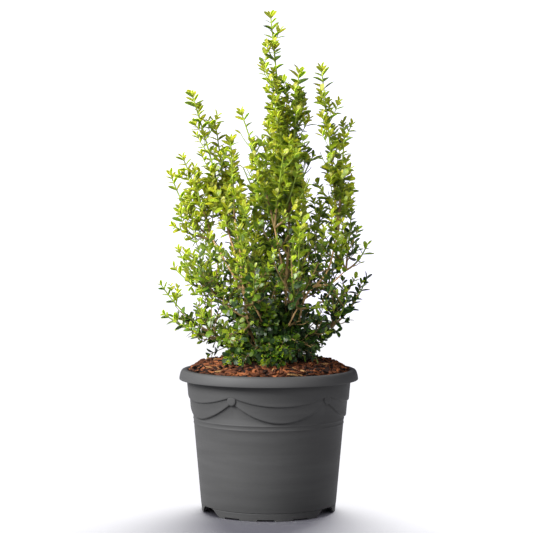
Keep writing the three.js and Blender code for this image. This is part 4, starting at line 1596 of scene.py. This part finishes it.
@dataclass
class Crown:
    """Every shoot and leaf of the plant."""

    stem_length: float = 8
    stem_taper: float = 0.9
    upright_slope: float = 2
    upright: Span = (0.4, 0.5)
    reaching: Span = (0.6, 0.28)
    leader_tip_radius: float = 1.0
    # How far short of its tip in the solids a leader ends, by its limb and number
    end_leaf: float = 1
    end_leaves: dict[tuple[str, int], float] = field(
        default_factory=lambda: {
            ("centre", 0): 8,
            ("centre", 1): 6,
            ("left", 0): 7,
            ("left", 1): 4,
            ("left_inner", 0): 4,
            ("left_shoulder", 0): 2,
            ("left_shoulder", 1): -4,
            ("left_skirt", 0): -4,
            ("left_skirt", 1): -4,
            ("left_flank", 0): -3,
            ("front_upper", 0): -5,
            ("right_flank", 0): -10,
            ("right_skirt", 0): -10,
            ("right_skirt", 1): -4,
        }
    )
    sides: SideRule = SideRule()
    side_tests: Series = (0.4, 0.6, 0.8, 1)
    side_shortening: float = 0.8
    side_tries: int = 4
    side_clearance: float = 4
    space_step: float = 12
    limb_step: float = 4
    floor: float = 243
    seed: int = 4000
    sprays: Branching = Branching(19, 12, 32, 0.78, 0.24, 12, 50, 34, tip_chance=0.56, ripening=260)
    spurs: Branching = Branching(14, 12, 14, 0.32, 0.4, 8, 28, 42)
    infill: Infill = Infill()
    low: LowRule = LowRule()
    # Youth with painted light and shade, which picks the colours of leaves and shoots
    youth_and_light: YouthAndPaintedLight = YouthAndPaintedLight()
    leaf_rule: LeafRule = LeafRule()
    leafing: tuple[Leafing, ...] = (
        Leafing(12, 12, (17, 22)),
        Leafing(12.6, 8, (16, 21)),
        Leafing(11.2, 5, (15, 20)),
        Leafing(9.4, 3, (12, 17)),
    )
    tip_gap: float = 1.2
    tip_pairs: int = 3
    tip_crowding: float = 0.35
    gap_spread: Span = (0.85, 1.15)
    # Where the low outer leaves stand further apart, and how far
    low_gap: float = 1.6
    low_gap_starts: Span = (262, 292)
    low_gap_ends: Span = (500, 330)
    low_gap_radii: Span = (85, 130)
    # The stretches of limbs, by height, and of a leader, that no leaf hides from the front
    shown_limbs: dict[str, Span] = field(
        default_factory=lambda: {"centre": (325, 440), "left": (264, 368), "right": (304, 338)}
    )
    shown_leader: float = 0.26
    shown_samples: int = 80
    shown_gap: Span = (3.8, 4)
    mulch_radii: Series = (0, 34, 50, 80, 104, 117, 124, 128)
    mulch_heights: Series = (238.5, 238.5, 239, 236.5, 231.5, 226, 221, 224)
    tip_height: float = 480
    tip_clearance: float = 24
    tip_drop: float = 20
    fine_radii: Span = (0.95, 0.6)
    spur_radii: Span = (0.6, 0.4)
    # Sides and steps of a shoot's tube by its forks, and the finishes up a leader
    tubes: tuple[tuple[int, int], ...] = ((7, 18), (5, 6), (4, 4), (3, 3))
    leader_finishes: tuple[int, ...] = (0,) * 6 + (1,) * 3 + (2,) * 9
    finish_limits: Span = (0.4, 0.52)
    bark_tone: float = 0.3
    past_middle: float = 0.6
    shoot_crease: float = 60
    leaf_crease: float = 50
    # A leaf's outline, as reach and half width, and its thickness
    leaf_stations: Outline = ((0.13, 0.2), (0.40, 0.44), (0.68, 0.5), (0.9, 0.32))
    leaf_thickness: float = 0.034
    space_points: Point = field(default_factory=no_places)
    space_owner: Point = field(default_factory=lambda: np.zeros(0))
    limb_places: Point = field(default_factory=no_places)
    limb_radii: Point = field(default_factory=lambda: np.zeros(0))
    leader_tips: Point = field(default_factory=no_places)
    shown_places: Point = field(default_factory=no_places)
    shoots: list[Shoot] = field(default_factory=list)
    leaves: list[Leaf] = field(default_factory=list)

    def leader_path(self, start: Point, tip: Point) -> Bend:
        """A leader's curve: a steep one rises evenly, any other reaches outward first."""
        way = tip - start
        steep = way[2] > self.upright_slope * math.hypot(way[0], way[1])
        out, up = self.upright if steep else self.reaching
        return Bend(start, start + way * np.array((out, out, up)), tip)

    def leaders(self, mass: Mass) -> list[Bend]:
        """The curves of a mass's leaders, which part at the top of its short stem."""
        start = LIMBS[mass.limb].beyond(self.stem_length)
        return [self.leader_path(start, np.array(tip, float)) for tip in mass.tips]

    def lay_out(self) -> None:
        """Lists places along every limb and leader, which the growth keeps clear of or belongs to."""
        points, owners, tips = [], [], []
        for order, mass in enumerate(MASSES.values()):
            for path in self.leaders(mass):
                along = path.spaced(self.space_step)
                points += path.points(along)
                owners += [order] * len(along)
                tips.append(path.end)
        places, radii = [], []
        for limb in LIMBS.values():
            path = limb.path()
            along = path.spaced(self.limb_step)
            places += path.points(along)
            radii += [limb.radius(t) for t in along]
        shown = []
        for name, (low, high) in self.shown_limbs.items():
            spots = LIMBS[name].path().points(np.linspace(0, 1, self.shown_samples))
            shown += [spot for spot in spots if low < spot[2] < high]
        leader = self.leaders(MASSES["top"])[1]
        shown += leader.points(np.linspace(0, self.shown_leader, self.shown_samples // 2))
        self.space_points, self.space_owner = np.array(points), np.array(owners)
        self.limb_places, self.limb_radii = np.array(places), np.array(radii)
        self.leader_tips = np.array([tip for tip in tips if tip[2] > self.tip_height])
        self.shown_places = np.array(shown)

    def in_own_space(self, owner: int, place: Point, margin: float) -> bool:
        """True where a place is nearer to its own mass than to any other, by a margin."""
        away = np.sqrt(((self.space_points - place) ** 2).sum(axis=1))
        mine = self.space_owner == owner
        return bool(away[mine].min() + margin < away[~mine].min())

    def clear_of_limbs(self, place: Point, clearance: float) -> bool:
        """True where a place is clear of every limb."""
        away = np.sqrt(((self.limb_places - place) ** 2).sum(axis=1))
        return bool((away > self.limb_radii + clearance).all())

    def fits(self, owner: int, place: Point, margin: float) -> bool:
        """True where a shoot may pass."""
        return (
            place[2] > self.floor
            and self.clear_of_limbs(place, self.side_clearance)
            and self.in_own_space(owner, place, margin)
        )

    def over_tip(self, place: Point) -> bool:
        """True where a shoot would rise past the tip of a high leader beside it."""
        gaps = self.leader_tips - place
        beside = np.hypot(gaps[:, 0], gaps[:, 1]) < self.tip_clearance
        return bool((beside & (np.abs(gaps[:, 2]) < self.tip_drop)).any())

    def hides_limb(self, place: Point) -> bool:
        """True where a leaf would cover one of the limbs that stand in plain view from the front."""
        across, up = (np.abs(self.shown_places[:, axis] - place[axis]) for axis in (0, 2))
        behind = self.shown_places[:, 1] > place[1]
        return bool(((across < self.shown_gap[0]) & (up < self.shown_gap[1]) & behind).any())

    def ground(self, place: Point) -> float:
        """The height of the mulch under a place."""
        return float(np.interp(math.hypot(place[0], place[1]), self.mulch_radii, self.mulch_heights))

    def owner_at(self, place: Point) -> int:
        """The mass whose leaders come nearest to a place."""
        return int(self.space_owner[((self.space_points - place) ** 2).sum(axis=1).argmin()])

    def side_path(
        self, owner: int, parent: Bend, share: float, turn: float, reach: float, slant: float, margin: float
    ) -> Bend | None:
        """A side shoot's curve, which leaves at a slant, turns upward, and is shortened until it fits.

        Args:
            owner: The mass's place in the list.
            parent: The shoot that it leaves.
            share: Where it leaves it.
            turn: The turn round it.
            reach: How far it goes.
            slant: Its angle from the parent, in degrees.
            margin: By how much it stays inside its own space.

        Returns:
            The curve, or None where none fits.
        """
        start = parent.point(share)
        heading, across, other = frame_at(parent, share)
        angle = math.radians(slant)
        way = heading * math.cos(angle) + out_at(across, other, turn) * math.sin(angle)
        for _ in range(self.side_tries):
            end = start + way * SIDE_OUT * reach + UP * SIDE_RISE * reach
            path = Bend(start, start + way * SIDE_BEND * reach, end)
            if all(self.fits(owner, path.point(t), margin) for t in self.side_tests):
                return path
            reach *= self.side_shortening
        return None

    def grow_mass(self, owner: int, mass: Mass) -> list[Shoot]:
        """Grows a mass's leaders and first side shoots, as the part's solids have them.

        Args:
            owner: The mass's place in the list.
            mass: The mass.

        Returns:
            The shoots, leaders first in each group.
        """
        rule = self.sides
        draw = make_random(mass.seed)
        foot_radius = LIMBS[mass.limb].radius(1) * self.stem_taper
        grown = []
        for index, path in enumerate(self.leaders(mass)):
            length = path.length()
            end_leaf = self.end_leaves.get((mass.limb, index), self.end_leaf)
            bare = path.trimmed(1 - end_leaf / length)
            grown.append(Shoot(bare, (foot_radius, self.leader_tip_radius), 0, length - end_leaf))
            count = int(length // rule.spacing)
            for i in range(count):
                share = (i + rule.first) / (count + rule.last)
                turn = math.radians(GOLDEN_ANGLE) * (i + 3 * index) + rule.turn_spread * draw()
                reach = mix(*rule.length, share) * mix(*rule.spread, draw())
                side = self.side_path(owner, path, share, turn, reach, rule.slant, rule.margin)
                if side:
                    least, full = rule.growth
                    side = side.scaled(min(1.0, least + length * (1 - share) / full))
                    grown.append(Shoot(side, rule.radii, 1, side.length()))
        return grown

    def branch(
        self, owner: int, parent: Shoot, rule: Branching, radii: Span, draw: Draw
    ) -> list[Shoot]:
        """Grows finer shoots along a shoot, in opposite pairs, shorter towards its tip.

        Args:
            owner: The mass's place in the list.
            parent: The shoot that they leave.
            rule: How they leave it.
            radii: Their radii at both ends.
            draw: The source of random numbers.

        Returns:
            The shoots that fit.
        """
        grown = []
        room = parent.reach - rule.first - rule.bare_tip
        count = int(room // rule.spacing) + 1 if room > 0 else 0
        for i in range(count):
            share = (rule.first + (i + jitter(rule.place_jitter, draw)) * rule.spacing) / parent.reach
            left = parent.reach * (1 - share)
            for side in (0, 1):
                turn = (i + parent.serial) * math.pi / 2 + side * math.pi + jitter(rule.turn_jitter, draw)
                full = min(rule.longest, rule.shortest + rule.share * left)
                reach = full * mix(*rule.length_spread, draw())
                slant = rule.slant + jitter(rule.slant_jitter, draw)
                if draw() > rule.chance * min(1.0, rule.tip_chance + left / rule.ripening):
                    continue
                path = self.side_path(owner, parent.path, share, turn, reach, slant, rule.margin)
                if path and not self.over_tip(path.end):
                    tone = parent.tone + jitter(rule.tone_jitter, draw)
                    grown.append(Shoot(path, radii, parent.order + 1, path.length(), tone, i))
        return grown

    def is_bare(self, spot: Point, frame: Point) -> bool:
        """True where the crown has room for a shoot's tip.

        Args:
            spot: The place.
            frame: Places along all limbs and leaders.

        Returns:
            Whether it is near enough to them, not above them, inside the crown and outside its openings.
        """
        rule = self.infill
        if spot[2] < rule.lowest or any(opening.holds(spot) for opening in rule.openings):
            return False
        gaps = ((frame - spot) ** 2).sum(axis=1)
        nearest = frame[gaps.argmin()]
        if gaps.min() > rule.at(rule.rooms, spot[2]) ** 2 or self.over_tip(spot):
            return False
        if spot[2] > nearest[2] + rule.at(rule.overtops, spot[2]):
            return False
        return math.hypot(*spot[:2]) <= max(rule.core, math.hypot(*nearest[:2]) + rule.overhang)

    def best_start(self, spot: Point, starts: Point, headings: Point) -> tuple[int, float] | None:
        """Finds where a shoot to a spot starts.

        Args:
            spot: The shoot's tip.
            starts: Places on the shoots and limbs that are there.
            headings: Their directions.

        Returns:
            The number of the best start and its distance, or None where none will do or one is too near.
        """
        rule = self.infill
        way = spot - starts
        away = np.sqrt((way * way).sum(axis=1))
        crowding = mix(*rule.crowding, min(1.0, (spot[0] ** 2 + spot[1] ** 2) / rule.rim**2))
        if away.min() < rule.at(rule.apart, spot[2]) * crowding:
            return None
        ahead = (way * headings).sum(axis=1) / away
        rise = way[:, 2] / away
        cost = away * (rule.turn_cost - ahead - rule.rise_gain * rise)
        too_far = (away < rule.reach[0]) | (away > rule.reach[1])
        too_bent = (ahead < math.cos(math.radians(rule.steepest_turn))) | (rise < rule.deepest_drop)
        cost[too_far | too_bent] = np.inf
        best = int(cost.argmin())
        return (best, float(away[best])) if np.isfinite(cost[best]) else None

    def fill(self) -> list[Shoot]:
        """Grows shoots into the crown's bare spots, each from the best placed shoot or limb below it.

        Returns:
            The shoots.
        """
        rule = self.infill
        draw = make_random(rule.seed)
        frame = np.concatenate((self.space_points, self.limb_places))
        low, high = frame.min(axis=0) - rule.border, frame.max(axis=0) + rule.border
        there = []
        for path in [limb.path() for limb in LIMBS.values()] + [shoot.path for shoot in self.shoots]:
            count = max(rule.fewest_starts, int(path.length() / rule.start_step))
            there += [(path.point(t), path.heading(t)) for t in np.linspace(*rule.start_span, count)]
        known = len(there)
        spots, ways = np.zeros((2, known + rule.tries * len(rule.new_starts), 3))
        spots[:known], ways[:known] = zip(*there)
        grown = []
        for _ in range(rule.tries):
            spot = np.array([mix(low[axis], high[axis], draw()) for axis in range(3)])
            best = self.best_start(spot, spots[:known], ways[:known]) if self.is_bare(spot, frame) else None
            if best is None:
                continue
            start = spots[best[0]].copy()
            toward = (spot - start - UP * SIDE_RISE * reach_to(spot - start)) / SIDE_OUT
            path = Bend(start, start + toward * SIDE_BEND, spot)
            if not self.clear_of_limbs(path.point(self.past_middle), rule.limb_clearance):
                continue
            order, radii = (1, self.sides.radii) if best[1] > rule.woody_reach else (2, self.fine_radii)
            grown.append(Shoot(path, radii, order, path.length(), draw(), len(grown)))
            for t in rule.new_starts:
                spots[known], ways[known] = path.point(t), path.heading(t)
                known += 1
        return grown

    def low_growth(self) -> list[Shoot]:
        """The low shoots all round, which leave the feet of the limbs and spread over the mulch.

        Returns:
            The shoots.
        """
        rule = self.low
        draw = make_random(self.seed + 1)
        feet = self.limb_places[self.limb_places[:, 2] < rule.feet_height]
        grown = []
        for index in range(rule.count):
            angle = index * math.radians(GOLDEN_ANGLE) + rule.angle_spread * draw()
            front = 0.5 - 0.5 * math.sin(angle)
            reach = mix(*rule.reach, draw()) * mix(rule.back_reach, 1, front)
            lift = mix(*rule.lift, draw())
            fan = rule.fans[index % len(rule.fans)]
            if fan:
                angle = from_front(mix(*fan.spread, draw()))
                reach = mix(*fan.reach, draw())
                lift = mix(*fan.lift, draw())
            end = np.array((reach * math.cos(angle), reach * math.sin(angle), 0.0))
            end[2] = self.ground(end) + lift
            start = feet[((feet - end * np.array(rule.foot_weights)) ** 2).sum(axis=1).argmin()]
            path = Bend(start, (start + end) / 2 + UP * mix(*rule.arch, draw()), end)
            grown.append(Shoot(path, self.fine_radii, 1, path.length(), mix(*rule.tones, draw()), index))
        return grown

    def leaf_pair(
        self, shoot: Shoot, share: float, order: int, length: float, tipness: float, draw: Draw
    ) -> None:
        """Sets two opposite leaves at one node, but for any that would hide a limb or fill a clearing.

        Args:
            shoot: The shoot that they sit on.
            share: Where on it.
            order: The node's number, which turns the pair a quarter from the last.
            length: The leaves' length.
            tipness: 1 at the shoot's tip and 0 well below it.
            draw: The source of random numbers.
        """
        rule = self.leaf_rule
        heading, across, other = frame_at(shoot.path, share)
        root = shoot.path.point(share)
        tip_youth = mix(*rule.tip_youth, ramp(root[2], *rule.tip_heights)) * tipness
        # Youth with painted light and shade in it, which picks the leaf's age and so its colour
        youth_and_light = self.youth_and_light.at(root) + rule.tone_youth * (shoot.tone - 0.5) + tip_youth
        full = ramp(root[2], *rule.full_heights)
        outer = ramp(math.hypot(root[0], root[1]), *rule.outer_radii)
        high = 0.0 if shoot.order else ramp(root[2], *rule.high_heights)
        level = (rule.level[1] if shoot.order else rule.level[0]) * (1 - rule.level_at_tip * tipness)
        for side in (0, 1):
            turn = (order + shoot.serial) * math.pi / 2 + side * math.pi + rule.turn
            out = out_at(across, other, turn + jitter(rule.turn_jitter, draw))
            angle = math.radians(mix(*rule.slants, tipness) + jitter(rule.slant_jitter, draw))
            along = unit(heading * math.cos(angle) + out * math.sin(angle) + UP * rule.lift * (1 - tipness))
            face = heading * math.sin(angle) - out * math.cos(angle) + UP * level
            face = unit(face - along * float(face @ along))
            size = length * mix(*rule.sizes, draw()) * mix(1, rule.tip_size, tipness)
            size *= mix(mix(*rule.low_sizes, outer), 1, full)
            size *= mix(1, rule.high_size, high)
            width = size * mix(*rule.widths, draw()) * mix(mix(*rule.low_widths, outer), 1, full)
            width *= mix(1, rule.high_width, high)
            age = rule.age_of(youth_and_light + jitter(rule.age_jitter, draw))
            middle = root + along * size * rule.middle
            buried = (root + along * size)[2] < self.ground(root) + rule.mulch_gap
            if buried or self.hides_limb(middle) or any(gap.holds(middle) for gap in self.infill.clearings):
                continue
            fold, curl = mix(*rule.folds, draw()), mix(*rule.curls, draw())
            self.leaves.append(Leaf(root, along, face, size, width, fold, curl, age))

    def leaf_out(self, shoot: Shoot, draw: Draw) -> None:
        """Sets the leaves of a shoot, in pairs down from its tip.

        Args:
            shoot: The shoot.
            draw: The source of random numbers.
        """
        rule = self.leafing[shoot.order]
        x, y, z = shoot.path.end
        low = ramp(z, *self.low_gap_starts) * ramp(z, *self.low_gap_ends)
        gap = rule.spacing * mix(1, self.low_gap, low * ramp(math.hypot(x, y), *self.low_gap_radii))
        left = self.tip_gap
        order = 0
        while left < shoot.reach - rule.bare_foot:
            below = min(1.0, order / self.tip_pairs)
            length = mix(*rule.length, draw())
            self.leaf_pair(shoot, 1 - left / shoot.reach, order, length, 1 - below, draw)
            left += gap * mix(self.tip_crowding, 1.0, below) * mix(*self.gap_spread, draw())
            order += 1

    def grow(self) -> None:
        """Grows every mass down to its last leaves, and fills the crown between them."""
        self.lay_out()
        for owner, mass in enumerate(MASSES.values()):
            draw = make_random(self.seed + mass.seed)
            coarse = self.grow_mass(owner, mass)
            for serial, shoot in enumerate(coarse):
                shoot.serial, shoot.tone = serial, draw()
            self.shoots += coarse
            for shoot in coarse:
                rule = self.spurs if shoot.order else self.sprays
                self.shoots += self.branch(owner, shoot, rule, self.fine_radii, draw)
        self.shoots += self.low_growth()
        self.shoots += self.fill()
        draw = make_random(self.seed)
        for shoot in [shoot for shoot in self.shoots if shoot.order == 1]:
            owner = self.owner_at(shoot.path.end)
            self.shoots += self.branch(owner, shoot, self.spurs, self.spur_radii, draw)
        for shoot in self.shoots:
            self.leaf_out(shoot, draw)
        log.info("crown: %d shoots, %d leaves", len(self.shoots), len(self.leaves))

    def shoot_finish(self, shoot: Shoot) -> int:
        """A shoot's finish: 0 for tan bark low down and inside, 1 for ripening, 2 for green, picked partly by
        painted light on the left and painted shade low on the right.
        """
        if shoot.order == 0:
            return 0
        youth_and_light = self.youth_and_light.at(shoot.path.point(self.past_middle)) + self.bark_tone * (shoot.tone - 0.5)
        return sum(youth_and_light >= limit for limit in self.finish_limits)

    def shoot_piece(self) -> Piece:
        """Makes the woody and green shoots one mesh of closed tapering tubes.

        Returns:
            The object.
        """
        joined = JoinedMesh("shoots")
        for order, (sides, steps) in enumerate(self.tubes):
            for finish in range(len(SHOOT_FINISHES)):
                tubes = [
                    tube_corners(shoot.path, lambda t, radii=shoot.radii: mix(*radii, t), sides, steps)
                    for shoot in self.shoots
                    if shoot.order == order and self.shoot_finish(shoot) == finish
                ]
                if tubes:
                    finishes = [finish] * steps if order else self.leader_finishes
                    joined.add(tube_pattern(sides, steps, finishes), np.array(tubes))
        return joined.build([finish.build() for finish in SHOOT_FINISHES], self.shoot_crease)

    def leaf_pattern(self) -> Pattern:
        """One leaf of unit length and width, fully closed: a ridge above and one below, over a round outline.

        Returns:
            The pattern, whose faces are of the upper finish and then of the lower one, by turns.
        """
        corners = [(0, 0, 0)]
        for reach, half in self.leaf_stations:
            corners += [(reach, half, 0), (reach, 0, 0.5), (reach, -half, 0), (reach, 0, -0.5)]
        corners.append((1, 0, 0))
        tip = len(corners) - 1
        faces = [(0, 2, 1), (0, 3, 2), (0, 1, 4), (0, 4, 3)]
        for left in range(1, tip - 4, 4):
            top, right, low = left + 1, left + 2, left + 3
            faces += [(top, top + 4, left + 4, left), (right, right + 4, top + 4, top)]
            faces += [(left, left + 4, low + 4, low), (low, low + 4, right + 4, right)]
        left, top, right, low = range(tip - 4, tip)
        faces += [(top, tip, left), (right, tip, top), (left, tip, low), (low, tip, right)]
        return Pattern(np.array(corners, float), faces, [0, 0, 1, 1] * (len(faces) // 4))

    def leaf_piece(self, age: Age, leaves: list[Leaf]) -> Piece:
        """Makes all leaves of one age one mesh.

        Args:
            age: Their age.
            leaves: The leaves.

        Returns:
            The object, with an upper and a lower finish.
        """

        def every(name: str) -> Point:
            """One value of every leaf."""
            return np.array([getattr(leaf, name) for leaf in leaves])

        pattern = self.leaf_pattern()
        reach, side, lift = pattern.corners.T
        root, along, up = (every(name) for name in ("root", "along", "up"))
        across = np.cross(up, along)
        length, width, fold, curl = (every(name)[:, None] for name in ("length", "width", "fold", "curl"))
        x = reach * length
        y = side * width
        z = lift * (self.leaf_thickness * length) + fold * np.abs(y) - curl * length * reach**2
        placed = root[:, None] + x[..., None] * along[:, None]
        placed = placed + y[..., None] * across[:, None] + z[..., None] * up[:, None]
        joined = JoinedMesh(f"leaves_{age.name.lower()}")
        joined.add(pattern, placed)
        return joined.build([finish.build() for finish in LEAF_FINISHES[age]], self.leaf_crease)

    def build(self) -> None:
        """Grows the crown and makes its pieces."""
        self.grow()
        nodes = [f"foliage_{name}" for name in MASSES]
        seat(self.shoot_piece(), Slot.BARK, nodes)
        for age in Age:
            chosen = [leaf for leaf in self.leaves if leaf.age is age]
            seat(self.leaf_piece(age, chosen), Slot.LEAVES, nodes)


# Studio


@dataclass
class Studio:
    """A pale floor and surround, soft light from the upper left, and the photograph's camera."""

    camera_place: Place = (-3.9, -2603, 476.5)
    camera_dip: float = 2.074
    camera_roll: float = -0.08
    lens: float = 112.46
    sensor_width: float = 36
    # What is nearer or further from the camera than this, in metres, isn't seen
    clip: Span = (0.05, 30)
    floor_size: float = 9000
    floor_colour: int = 0xFBFBFC
    floor_roughness: float = 0.9
    floor_gloss: float = 0.1
    sky_colour: int = 0xEEECFF
    room_strength: float = 0.24
    backdrop_strength: float = 1.5
    floor_light_power: float = 3.3
    floor_light_lean: float = -32
    floor_light_spread: float = 40
    floor_light_turn: float = -4
    fill_place: Place = (300, -2560, 1700)
    fill_size: float = 2400
    fill_power: float = 66
    key_place: Place = (-2200, -1374, 2120)
    key_target: Place = (0, 0, 380)
    key_size: float = 2000
    key_power: float = 400

    def build(self) -> None:
        """Sets up the floor, the light and the camera."""
        self.light(self.floor())
        self.camera()

    def floor(self) -> Piece:
        """Lays the floor.

        Returns:
            The floor.
        """
        bpy.ops.object.select_all(action="DESELECT")
        bpy.ops.mesh.primitive_plane_add(size=self.floor_size * MM)
        floor = bpy.context.active_object
        floor.name = "floor"
        material, tree = new_material("pale_floor")
        finish = {
            "Base Color": linear(self.floor_colour),
            "Roughness": self.floor_roughness,
            "Specular IOR Level": self.floor_gloss,
        }
        shader = add_node(tree, "BsdfPrincipled", finish)
        add_node(tree, "OutputMaterial", links={"Surface": (shader, "BSDF")})
        floor.data.materials.append(material)
        return floor

    def light(self, floor: Piece) -> None:
        """Sets the white surround, two soft lamps for the plant and a soft sun for the floor.

        Args:
            floor: The floor, which only the sun lights.
        """
        world = bpy.data.worlds.new("surround")
        world.use_nodes = True
        tree = world.node_tree
        background = tree.nodes["Background"]
        background.inputs["Color"].default_value = linear(self.sky_colour)
        seen = add_node(tree, "LightPath")
        strengths = {"To Min": self.room_strength, "To Max": self.backdrop_strength}
        strength = add_node(tree, "MapRange", strengths, {"Value": (seen, "Is Camera Ray")})
        tree.links.new(strength.outputs["Result"], background.inputs["Strength"])
        scene = bpy.context.scene
        scene.world = world
        scene.view_settings.view_transform = "Standard"
        key = self.lamp("key_light", self.key_place, self.key_size, self.key_power)
        fill = self.lamp("fill_light", self.fill_place, self.fill_size, self.fill_power)
        tilt = (math.radians(self.floor_light_lean), 0, math.radians(self.floor_light_turn))
        bpy.ops.object.light_add(type="SUN", rotation=tilt)
        above = bpy.context.active_object
        above.name = "floor_light"
        above.data.energy = self.floor_light_power
        above.data.angle = math.radians(self.floor_light_spread)
        for lamp, state in ((key, "EXCLUDE"), (fill, "EXCLUDE"), (above, "INCLUDE")):
            linked = bpy.data.collections.new(f"{lamp.name}_floor")
            linked.objects.link(floor)
            linked.collection_objects[0].light_linking.link_state = state
            lamp.light_linking.receiver_collection = linked

    def lamp(
        self, name: str, place: Place, size: float, power: float
    ) -> Piece:
        """Hangs one round soft lamp that faces the plant.

        Args:
            name: Its name.
            place: Where it hangs.
            size: Its width.
            power: Its power in watts.

        Returns:
            The lamp.
        """
        bpy.ops.object.light_add(type="AREA", location=[v * MM for v in place])
        lamp = bpy.context.active_object
        lamp.name = name
        lamp.data.shape = "DISK"
        lamp.data.size = size * MM
        lamp.data.energy = power
        aim = Vector(self.key_target) - Vector(place)
        lamp.rotation_euler = aim.to_track_quat("-Z", "Y").to_euler()
        return lamp

    def camera(self) -> None:
        """Stands the camera where the photograph was taken from."""
        bpy.ops.object.camera_add(location=[v * MM for v in self.camera_place])
        camera = bpy.context.active_object
        camera.rotation_euler = (math.radians(90 - self.camera_dip), math.radians(self.camera_roll), 0)
        camera.data.sensor_width = self.sensor_width
        camera.data.lens = self.lens
        camera.data.clip_start, camera.data.clip_end = self.clip
        bpy.context.scene.camera = camera


def main() -> None:
    """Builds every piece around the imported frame."""
    logging.basicConfig(level=logging.INFO, format="%(name)s: %(message)s")
    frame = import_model()
    Studio().build()
    Container().build()
    Filling().build(frame["nodes"])
    Stems().build()
    Crown().build()


if __name__ == "__main__":
    main()
